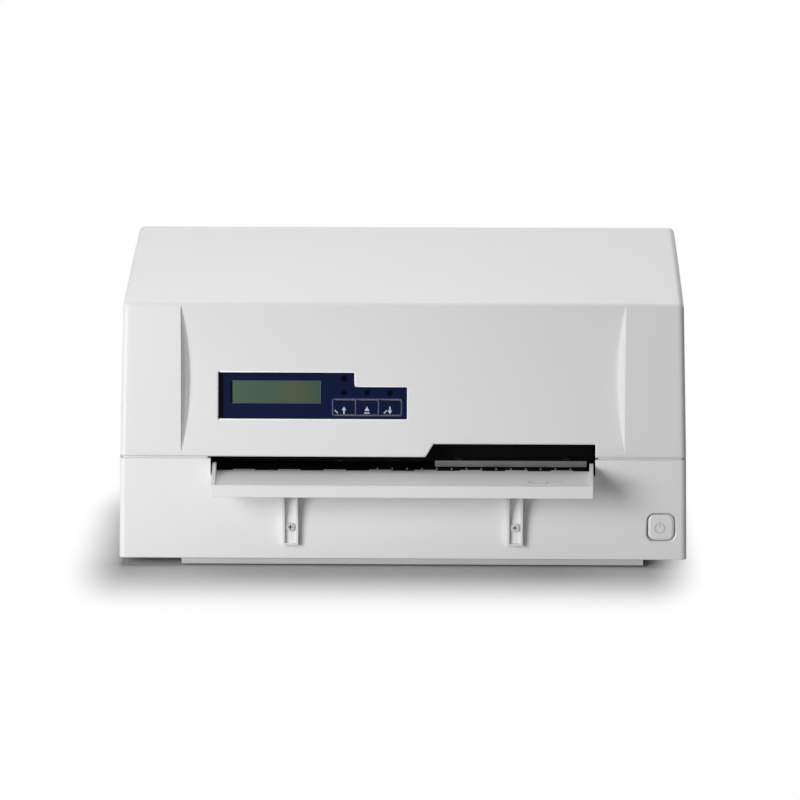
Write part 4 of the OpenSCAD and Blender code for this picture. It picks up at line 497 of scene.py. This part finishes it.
painted = {
    # node: (base finish, zones)
    "main_board": ("board_green", [
        ((board.x, board.y, base), (boardRight, rear, roof), "black_plastic"),  # chips
        ((board.x + 97, rear - 71, base), (board.x + 121, rear - 23, roof), aluminium),  # heat sink
        ((board.x + 6, rear - 90, base), (board.x + 18, rear - 54, roof), sleeve),  # capacitors
        ((board.x + 6, rear - 90, boardTop + 17.9), (board.x + 18, rear - 54, roof), aluminium),
        ((board.x, board.y, board.z - 1), (boardRight, rear, board.z + boardSize["under"]), "tin"),
    ]),
    "front_roller": ("bright_steel", [((gearLow, -90, 0), (gearHigh, -30, 90), "nylon")]),
    "rear_roller": ("bright_steel", [((gearLow, 20, 0), (gearHigh, 80, 90), "nylon")]),
    "feed_pinion": ("bronze", [((0, -40, 0), (gearLow, 40, 90), "bright_steel")]),  # the motor's shaft
    "print_head": ("cast_aluminium", [((-20, -30, 60), (20, 10, 82), "black_plastic")]),  # its nose
    "power_inlet": ("black_plastic", [  # three pins
        ((-108, 122, 21.8), (-106, 135.5, 25.8), "tin"),
        ((-94, 122, 21.8), (-92, 135.5, 25.8), "tin"),
        ((-101, 122, 26.2), (-99, 135.5, 30.2), "tin"),
    ]),
    "power_switch": ("black_plastic", [((160, -70.37, 0), (190, -50, 40), "zinc")]),  # its bracket
    # painted shade in the crosses of the two screw heads
    "table_screws": ("screw_steel", [
        ((-77.9, -107.85, 26), (-73.7, -105, 30.2), recessShade),
        ((73.7, -107.85, 26), (77.9, -105, 30.2), recessShade),
    ]),
    "power_supply": ("zinc", [
        ((sx + 3.9, sy + 1.9, sz + 5.9), (sx + 111, sr - 1.9, plate), "board_green"),
        ((sx + 41, sr - 47, plate), (sx + 71, sr - 17, lid), tape),  # transformer
        ((sx + 14, sr - 52, plate), (sx + 34, sr - 10, lid), sleeve),  # two capacitors
        ((sx + 14, sr - 52, cans), (sx + 34, sr - 10, lid), aluminium),
        ((sx + 85, sr - 59, plate), (sx + 91, sr - 7, lid), aluminium),  # heat sink
    ]),
}
# painted shade: what the cover keeps in the shade gets a darker copy of its slot's finish
shadedSlots = {"upper_guides": "shaded_guide_black", "lower_guide": "shaded_guide_black", "guide_bar": "shaded_steel"}
print("finishes are made:", len(made))

for part in frame["record"]["subparts"]:
    mesh = nodes[part["node"]].data
    mesh.materials.clear()
    mesh.materials.append(made[shadedSlots.get(part["node"], part["material_slot"])])
for name, (slot, zones) in painted.items():
    material = made[slot].copy()
    material.name = finishes[slot]["name"] + ", " + name
    addZones(material, zones)
    nodes[name].data.materials[0] = material


making = {
    "cornerSteps": 5,
    "wedgeBevel": 0.12,  # mm
    "weld": 0.00001,  # metres
    "smoothAngle": 30,
}


def showOnly(piece):
    bpy.ops.object.select_all(action="DESELECT")
    piece.select_set(True)
    bpy.context.view_layer.objects.active = piece


def block(low, high):  # corners in mm
    low, high = Vector(low) * mm, Vector(high) * mm
    bpy.ops.object.select_all(action="DESELECT")
    bpy.ops.mesh.primitive_cube_add(size=1, location=(low + high) / 2)
    piece = bpy.context.object
    piece.scale = high - low
    bpy.ops.object.transform_apply()
    return piece


def useModifier(piece, kind, **settings):
    showOnly(piece)
    modifier = piece.modifiers.new(kind.lower(), kind)
    for name, value in settings.items():
        setattr(modifier, name, value)
    bpy.ops.object.modifier_apply(modifier=modifier.name)
    return piece


def repeatAlong(piece, count, step):  # the step in mm
    return useModifier(piece, "ARRAY", count=count, use_relative_offset=False, use_constant_offset=True,
                       constant_offset_displace=Vector(step) * mm)


def joinPieces(pieces):
    bpy.ops.object.select_all(action="DESELECT")
    for piece in pieces:
        piece.select_set(True)
    bpy.context.view_layer.objects.active = pieces[0]
    bpy.ops.object.join()
    return pieces[0]


def move(piece, x=0, y=0, z=0, turn=0):  # in mm, turned about Z first
    spin = Matrix.Rotation(math.radians(turn), 4, "Z")
    piece.matrix_world = Matrix.Translation(Vector((x, y, z)) * mm) @ spin @ piece.matrix_world
    showOnly(piece)
    bpy.ops.object.transform_apply()
    return piece


def outlineRing(size, corner, line, height):  # a round-cornered frame that stands on Z = 0
    bpy.ops.object.select_all(action="DESELECT")
    bpy.ops.mesh.primitive_plane_add(size=1)
    piece = bpy.context.object
    piece.scale = (size[0] * mm, size[1] * mm, 1)
    bpy.ops.object.transform_apply()
    bpy.ops.object.mode_set(mode="EDIT")
    bpy.ops.mesh.select_all(action="SELECT")
    bpy.ops.mesh.bevel(offset=corner * mm, segments=making["cornerSteps"], affect="VERTICES")
    bpy.ops.mesh.select_all(action="SELECT")
    bpy.ops.mesh.inset(thickness=line * mm)
    bpy.ops.mesh.delete(type="FACE")
    bpy.ops.object.mode_set(mode="OBJECT")
    return useModifier(piece, "SOLIDIFY", thickness=height * mm, offset=1)


def wedge(radius, height):  # a triangle that points along +Y and stands on Z = 0
    bpy.ops.object.select_all(action="DESELECT")
    bpy.ops.mesh.primitive_cylinder_add(vertices=3, radius=radius * mm, depth=height * mm,
                                        location=(0, 0, height / 2 * mm))
    bpy.ops.object.mode_set(mode="EDIT")
    bpy.ops.mesh.select_all(action="SELECT")
    bpy.ops.mesh.bevel(offset=min(making["wedgeBevel"], height / 3) * mm, segments=1)
    bpy.ops.object.mode_set(mode="OBJECT")
    bpy.ops.object.transform_apply()
    return bpy.context.object


def finishPiece(piece, name, body, slot, place=None):
    if place is not None:
        piece.matrix_world = place @ piece.matrix_world
    showOnly(piece)
    bpy.ops.object.transform_apply()
    bpy.ops.object.mode_set(mode="EDIT")
    bpy.ops.mesh.select_all(action="SELECT")
    bpy.ops.mesh.remove_doubles(threshold=making["weld"])
    bpy.ops.mesh.normals_make_consistent(inside=False)
    bpy.ops.object.mode_set(mode="OBJECT")
    bpy.ops.object.shade_smooth_by_angle(angle=math.radians(making["smoothAngle"]))
    piece.name = piece.data.name = name
    piece.data.materials.clear()
    piece.data.materials.append(made[slot])
    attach(piece, body)
    return piece


# prints on the control panel; its own frame has X to the right, Y up the panel, Z out of it
panel = {
    "lean": 11.52,  # degrees, the panel's top leans back
    "middleDepth": 1.0,  # mm from the panel's zero to the middle of the foil
    "foil": (127.2, 31.2),
    "face": -0.4,
    "keys": {"key_left": 21.0, "key_middle": 36.5, "key_right": 52.0},
    "keyUp": -7.7,
    "keySize": (14, 9.6),
    "keyGap": 0.4,
    "line": 0.7,  # printed outline between and round the keys
    "corner": 1.6,
    "overlap": 0.05,
    "ink": 0.05,  # stands this proud of the foil
    "sunk": 0.03,  # and reaches this far into it
}
low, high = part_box("panel_foil")
panelPlace = (Matrix.Translation((low + high) / 2) @ Matrix.Rotation(math.radians(90 - panel["lean"]), 4, "X")
              @ Matrix.Translation((0, 0, panel["middleDepth"] * mm)))
inkFoot, inkTop = panel["face"] - panel["sunk"], panel["face"] + panel["ink"]
thick = inkTop - inkFoot
keyW, keyH = panel["keySize"]
reach = panel["keyGap"] + panel["line"]
keyMiddle = panel["keys"]["key_middle"]
pitch = keyMiddle - panel["keys"]["key_left"]
outline = outlineRing((2 * pitch + keyW + 2 * reach, keyH + 2 * reach), panel["corner"], panel["line"], thick)
pieces = [move(outline, keyMiddle, panel["keyUp"], inkFoot)]
for side in (-1, 1):
    x = keyMiddle + side * pitch / 2
    low = panel["keyUp"] - keyH / 2 - panel["keyGap"] - panel["overlap"]
    high = panel["keyUp"] + keyH / 2 + panel["keyGap"] + panel["overlap"]
    pieces.append(block((x - panel["line"] / 2, low, inkFoot), (x + panel["line"] / 2, high, inkTop)))
finishPiece(joinPieces(pieces), "key_outline_print", "cover", "dull_ink", panelPlace)

# dark rings round the lights, painted shadow along the left edges of the window and the foil, and a painted
# highlight along the window's other edges
window = {
    "middle": (-24.9, 2.5), "size": (59.6, 14.6), "line": 0.4,
    "lap": 0.1,  # the prints lap over the glass by this much
    "shade": 0.9, "shadeUp": 0.3,  # width of the painted shadow left of the glass and how far it rises
    "edge": (0.3, 3.0), "edgeEnds": 1.2,  # the painted shadow along the foil's left edge, from and to, and clear of its ends
    "lights": ((21.0, 11.8), (21.0, 2.2), (36.5, 2.2), (52.0, 2.2)), "ring": 3.9, "ringLine": 0.6,
    "ringFlat": 0.05,  # keeps the ring's corners from meeting
}
pieces = []
ringCorner = window["ring"] / 2 - window["ringFlat"]
for x, y in window["lights"]:
    ring = outlineRing((window["ring"],) * 2, ringCorner, window["ringLine"], thick)
    pieces.append(move(ring, x, y, inkFoot))
left, bottom = (window["middle"][i] - window["size"][i] / 2 for i in (0, 1))
right, top = (window["middle"][i] + window["size"][i] / 2 for i in (0, 1))
pieces.append(block((left - window["shade"], bottom, inkFoot),
                    (left + window["lap"], top + window["shadeUp"], inkTop)))
foilW, foilH = panel["foil"]
start, end = window["edge"]
pieces.append(block((start - foilW / 2, window["edgeEnds"] - foilH / 2, inkFoot),
                    (end - foilW / 2, foilH / 2 - window["edgeEnds"], inkTop)))
finishPiece(joinPieces(pieces), "dark_prints_and_shadow", "cover", "led_lens", panelPlace)
# painted highlight: a lighter line along the window's right, bottom and top edges
line, lap = window["line"], window["lap"]
pieces = [block((right - lap, bottom, inkFoot), (right + line, top, inkTop)),
          block((left, bottom - line, inkFoot), (right + line, bottom + lap, inkTop)),
          block((left, top - lap, inkFoot), (right + line, top + line, inkTop))]
finishPiece(joinPieces(pieces), "window_highlight_print", "cover", "window_highlight", panelPlace)

# the raised bead round the foil, which hides its edge: it follows the hollow's surface, and its whiter colour
# is a painted highlight
rim = {
    "step": (35.6, 9.6), "wide": 1.0, "corner": 1.8, "proud": 0.22, "foot": -0.9,  # mm
    "blank": 1,  # mm, its height before the top and foot are shaped
    "hollow": 184,  # mm, the radius of the hollow's surface
    "cuts": (-12, -8, -4, 0, 4, 8, 12),  # mm along Y, so that it can follow
    "flat": 0.1,  # radians that still count as one face
    "sharp": 50, "soft": 0.25, "softSteps": 2,  # degrees of an edge that is rounded, mm, steps
}
halfW, halfH = (size / 2 + rim["wide"] for size in panel["foil"])
stepX = halfW - rim["step"][0]
stepY = halfH - rim["step"][1]
bpy.ops.object.select_all(action="DESELECT")
bpy.ops.mesh.primitive_plane_add(size=1)
bead = bpy.context.object
bead.scale = (2 * halfW * mm, 2 * halfH * mm, 1)
bpy.ops.object.transform_apply()
bpy.ops.object.mode_set(mode="EDIT")
bpy.ops.mesh.select_mode(type="FACE")
for point, normal in (((stepX, 0, 0), (1, 0, 0)), ((0, stepY, 0), (0, 1, 0))):
    bpy.ops.mesh.select_all(action="SELECT")
    bpy.ops.mesh.bisect(plane_co=Vector(point) * mm, plane_no=normal)
bpy.ops.mesh.select_all(action="DESELECT")
shape = bmesh.from_edit_mesh(bead.data)
for face in shape.faces:
    at = face.calc_center_median() / mm
    face.select_set(at.x > stepX and at.y > stepY)
bmesh.update_edit_mesh(bead.data)
bpy.ops.mesh.delete(type="FACE")
bpy.ops.mesh.select_all(action="SELECT")
bpy.ops.mesh.dissolve_limited(angle_limit=rim["flat"])
bpy.ops.mesh.select_all(action="SELECT")
bpy.ops.mesh.bevel(offset=rim["corner"] * mm, segments=making["cornerSteps"], affect="VERTICES")
bpy.ops.mesh.select_all(action="SELECT")
bpy.ops.mesh.inset(thickness=rim["wide"] * mm)
bpy.ops.mesh.delete(type="FACE")
bpy.ops.mesh.select_all(action="SELECT")  # the left side has no bead, and so no painted highlight: the pocket's wall is there, in shade
bpy.ops.mesh.bisect(plane_co=((rim["corner"] - halfW) * mm, 0, 0), plane_no=(1, 0, 0), clear_inner=True)
for cut in rim["cuts"]:
    bpy.ops.mesh.select_all(action="SELECT")
    bpy.ops.mesh.bisect(plane_co=(0, cut * mm, 0), plane_no=(0, 1, 0))
bpy.ops.object.mode_set(mode="OBJECT")
useModifier(bead, "SOLIDIFY", thickness=rim["blank"] * mm, offset=1)
bpy.ops.object.mode_set(mode="EDIT")
shape = bmesh.from_edit_mesh(bead.data)
for corner in shape.verts:  # the top follows the hollow, the foot stays in the pocket
    rise = (corner.co.y / mm) ** 2 / (2 * rim["hollow"])
    corner.co.z = (rise + rim["proud"] if corner.co.z > rim["blank"] / 2 * mm else rim["foot"]) * mm
bmesh.update_edit_mesh(bead.data)
bpy.ops.mesh.select_mode(type="EDGE")
bpy.ops.mesh.select_all(action="DESELECT")
bpy.ops.mesh.edges_select_sharp(sharpness=math.radians(rim["sharp"]))
shape = bmesh.from_edit_mesh(bead.data)
for edge in shape.edges:
    edge.select_set(edge.select and min(corner.co.z for corner in edge.verts) > 0)
bmesh.update_edit_mesh(bead.data)
bpy.ops.mesh.bevel(offset=rim["soft"] * mm, segments=rim["softSteps"])
bpy.ops.object.mode_set(mode="OBJECT")
finishPiece(bead, "panel_rim_highlight", "cover", "whiter_abs", panelPlace)

# the keys' marks: an arrow with a slanted dash beside it on the outer two, eject in the middle
icons = {
    "up": -2.0,
    "head": 1.7, "headUp": 0.9, "stem": ((-0.5, -2.5), (0.5, 0.3)),
    "dash": (3.0, 0.7), "dashTurn": -45, "dashUp": -0.9,
    "arrows": (("key_left", 0, -5.2, 0), ("key_right", 180, -3, 90)),  # its turn, the dash's X and turn
    "eject": 2, "ejectUp": 0.6, "bar": (3.6, 0.8), "barUp": -1.8,
}
iconY = panel["keyUp"] + icons["up"]


def arrowPrint():  # 5 mm long, points along +Y
    head = move(wedge(icons["head"], thick), 0, icons["headUp"])
    low, high = icons["stem"]
    return joinPieces([head, block((*low, 0), (*high, thick))])


def dashPrint(size):
    w, d = (length / 2 for length in size)
    return block((-w, -d, 0), (w, d, thick))


for key, arrowTurn, dashX, dashTurn in icons["arrows"]:
    x = panel["keys"][key]
    arrow = move(arrowPrint(), x, iconY, inkFoot, turn=arrowTurn)
    dash = move(dashPrint(icons["dash"]), turn=icons["dashTurn"])
    dash = move(dash, x + dashX, iconY + icons["dashUp"], inkFoot, turn=dashTurn)
    finishPiece(joinPieces([arrow, dash]), key + "_print", key, "pale_ink", panelPlace)
eject = move(wedge(icons["eject"], thick), keyMiddle, iconY + icons["ejectUp"], inkFoot)
bar = move(dashPrint(icons["bar"]), keyMiddle, iconY + icons["barUp"], inkFoot)
finishPiece(joinPieces([eject, bar]), "key_middle_print", "key_middle", "pale_ink", panelPlace)

# the moulded power symbol on the button: a broken ring with a bar
powerSymbol = {
    "radius": 3.6, "steps": 48, "line": 0.7, "height": 0.3, "sunk": 0.03,  # mm
    "gap": 28,  # degrees to each side of the top
    "bar": 3.4, "barUp": 0.9, "across": -1, "up": -0.6,
}
low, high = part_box("power_button")
middle = (low + high) / 2
facing = (Matrix.Translation((middle.x, low.y + powerSymbol["sunk"] * mm, middle.z))
          @ Matrix.Rotation(math.radians(90), 4, "X"))
bpy.ops.object.select_all(action="DESELECT")
bpy.ops.mesh.primitive_circle_add(vertices=powerSymbol["steps"], radius=powerSymbol["radius"] * mm,
                                  fill_type="NGON")
symbol = bpy.context.object
bpy.ops.object.mode_set(mode="EDIT")
bpy.ops.mesh.select_all(action="SELECT")
bpy.ops.mesh.inset(thickness=powerSymbol["line"] * mm)
bpy.ops.mesh.delete(type="FACE")
bpy.ops.mesh.select_mode(type="FACE")
bpy.ops.mesh.select_all(action="DESELECT")
shape = bmesh.from_edit_mesh(symbol.data)
for face in shape.faces:
    at = face.calc_center_median()
    face.select_set(abs(math.degrees(math.atan2(at.x, at.y))) < powerSymbol["gap"])
bmesh.update_edit_mesh(symbol.data)
bpy.ops.mesh.delete(type="FACE")
bpy.ops.object.mode_set(mode="OBJECT")
useModifier(symbol, "SOLIDIFY", thickness=powerSymbol["height"] * mm, offset=1)
half = powerSymbol["line"] / 2
bar = block((-half, powerSymbol["radius"] - powerSymbol["bar"] + powerSymbol["barUp"], 0),
            (half, powerSymbol["radius"] + powerSymbol["barUp"], powerSymbol["height"]))
symbol = move(joinPieces([symbol, bar]), powerSymbol["across"], powerSymbol["up"])
# the raised symbol is drawn darker grey: painted shade
finishPiece(symbol, "power_symbol", "power_button", "shaded_mark_grey", facing)

# centimetre scale printed on the document guide, behind the table's edge
scale = {"count": 14, "first": -17.3, "pitch": 10.03, "from": 3.1, "long": 5.5, "wide": 1.0, "ink": 0.05,
         "sunk": 0.03}  # mm
low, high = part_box("lower_guide")
guideTop = high.z / mm
front = low.y / mm + scale["from"]
tick = block((scale["first"] - scale["wide"] / 2, front, guideTop - scale["sunk"]),
             (scale["first"] + scale["wide"] / 2, front + scale["long"], guideTop + scale["ink"]))
repeatAlong(tick, scale["count"], (scale["pitch"], 0, 0))
finishPiece(tick, "guide_scale", "chassis", "scale_ink")

# moulded marks on the front table: a card-sized outline and a dash beside it
tableMarks = {
    "gap": 0.3,  # mm between the table's rear edge and the guide
    "fall": 1.67,  # degrees, the table falls to the front
    "outline": (12.8, 8), "at": (90.6, -130.7), "corner": 1, "line": 0.8, "height": 0.3, "sunk": 0.02,
    "dash": (6.7, 1.4), "dashAt": (104.3, -129.7),
    "fieldGap": 0.5, "fieldHeight": 0.1,
}
low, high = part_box("lower_guide")
rearEdge = low.y / mm - tableMarks["gap"]  # at the guide's height
sunk, height = tableMarks["sunk"], tableMarks["height"]
slope = (Matrix.Translation((0, rearEdge * mm, guideTop * mm))
         @ Matrix.Rotation(math.radians(tableMarks["fall"]), 4, "X"))
x, y = tableMarks["at"]
frameMark = outlineRing(tableMarks["outline"], tableMarks["corner"], tableMarks["line"], height)
frameMark = move(frameMark, x, y - rearEdge, -sunk)
w, d = (size / 2 - tableMarks["line"] - tableMarks["fieldGap"] for size in tableMarks["outline"])
inner = block((x - w, y - rearEdge - d, -sunk), (x + w, y - rearEdge + d, tableMarks["fieldHeight"]))
x, y = tableMarks["dashAt"]
w, d = (size / 2 for size in tableMarks["dash"])
dash = block((x - w, y - rearEdge - d, -sunk), (x + w, y - rearEdge + d, height))
# the raised outline and dash are drawn darker grey: painted shade
finishPiece(joinPieces([frameMark, dash]), "table_marks", "chassis", "shaded_mark_grey", slope)
finishPiece(inner, "table_mark_field", "chassis", "whiter_abs", slope)
print("prints and moulded marks are in place")

# legs of the chips on the main board
chips = {
    "spots": [(28, 60, 30, 22), (28, 28, 36, 12), (74, 30, 22, 12), (74, 52, 22, 12)],  # mm in from the
    # board's left and rear edges, then width and depth
    "pitch": 2.54, "leg": (0.5, 1.1, 2.2), "sunk": 0.1, "margin": 2,
}
legW, legD, legH = chips["leg"]
legs = []
for x0, y0, w, d in chips["spots"]:
    count = int((w - 2 * chips["margin"]) / chips["pitch"]) + 1
    first = board.x + x0 + (w - (count - 1) * chips["pitch"]) / 2
    for y in (rear - y0, rear - y0 - d - legD):
        leg = block((first - legW / 2, y, boardTop - chips["sunk"]),
                    (first + legW / 2, y + legD, boardTop + legH))
        legs.append(repeatAlong(leg, count, (chips["pitch"], 0, 0)))
finishPiece(joinPieces(legs), "chip_legs", "chassis", "tin")

# gold contacts along the tongues of the two interface sockets, above and below
contacts = {
    "tongues": ((56, 2.16, 18), (114, 2.77, 5)),  # middle and pitch in mm, count
    "along": (132.6, 138.1), "tongue": (16.1, 19.1),  # mm along Y and Z
    "wide": 1.1, "thick": 0.15, "sunk": 0.05,
}
y0, y1 = contacts["along"]
tongueFoot, tongueTop = contacts["tongue"]
strips = []
for middle, pitch, count in contacts["tongues"]:
    first = middle - (count - 1) * pitch / 2
    x0, x1 = first - contacts["wide"] / 2, first + contacts["wide"] / 2
    for z0, z1 in ((tongueFoot - contacts["thick"], tongueFoot + contacts["sunk"]),
                   (tongueTop - contacts["sunk"], tongueTop + contacts["thick"])):
        strips.append(repeatAlong(block((x0, y0, z0), (x1, y1, z1)), count, (pitch, 0, 0)))
finishPiece(joinPieces(strips), "socket_contacts", "chassis", "gold")

# teeth on the inner face of the belt's two runs
teeth = {"pitch": 2.032, "wide": 1, "deep": 0.25, "count": 148,
         "belt": 1.2, "sunk": 0.02, "short": 0.2}  # mm: the belt's thickness, and clear of its edges
low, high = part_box("timing_belt")
beltMiddle = (low.y + high.y) / 2 / mm
runHalf = (high.y - low.y) / 2 / mm - teeth["belt"]
first = (low.x + high.x) / 2 / mm - (teeth["count"] - 1) * teeth["pitch"] / 2
x0, x1 = first - teeth["wide"] / 2, first + teeth["wide"] / 2
z0, z1 = low.z / mm + teeth["short"], high.z / mm - teeth["short"]
runs = []
for side in (-1, 1):
    y0, y1 = sorted((beltMiddle + side * (runHalf + teeth["sunk"]),
                     beltMiddle + side * (runHalf - teeth["deep"])))
    runs.append(repeatAlong(block((x0, y0, z0), (x1, y1, z1)), teeth["count"], (teeth["pitch"], 0, 0)))
finishPiece(joinPieces(runs), "belt_teeth", "chassis", "belt_rubber")
print("inner details are in place")

bpy.context.view_layer.update()
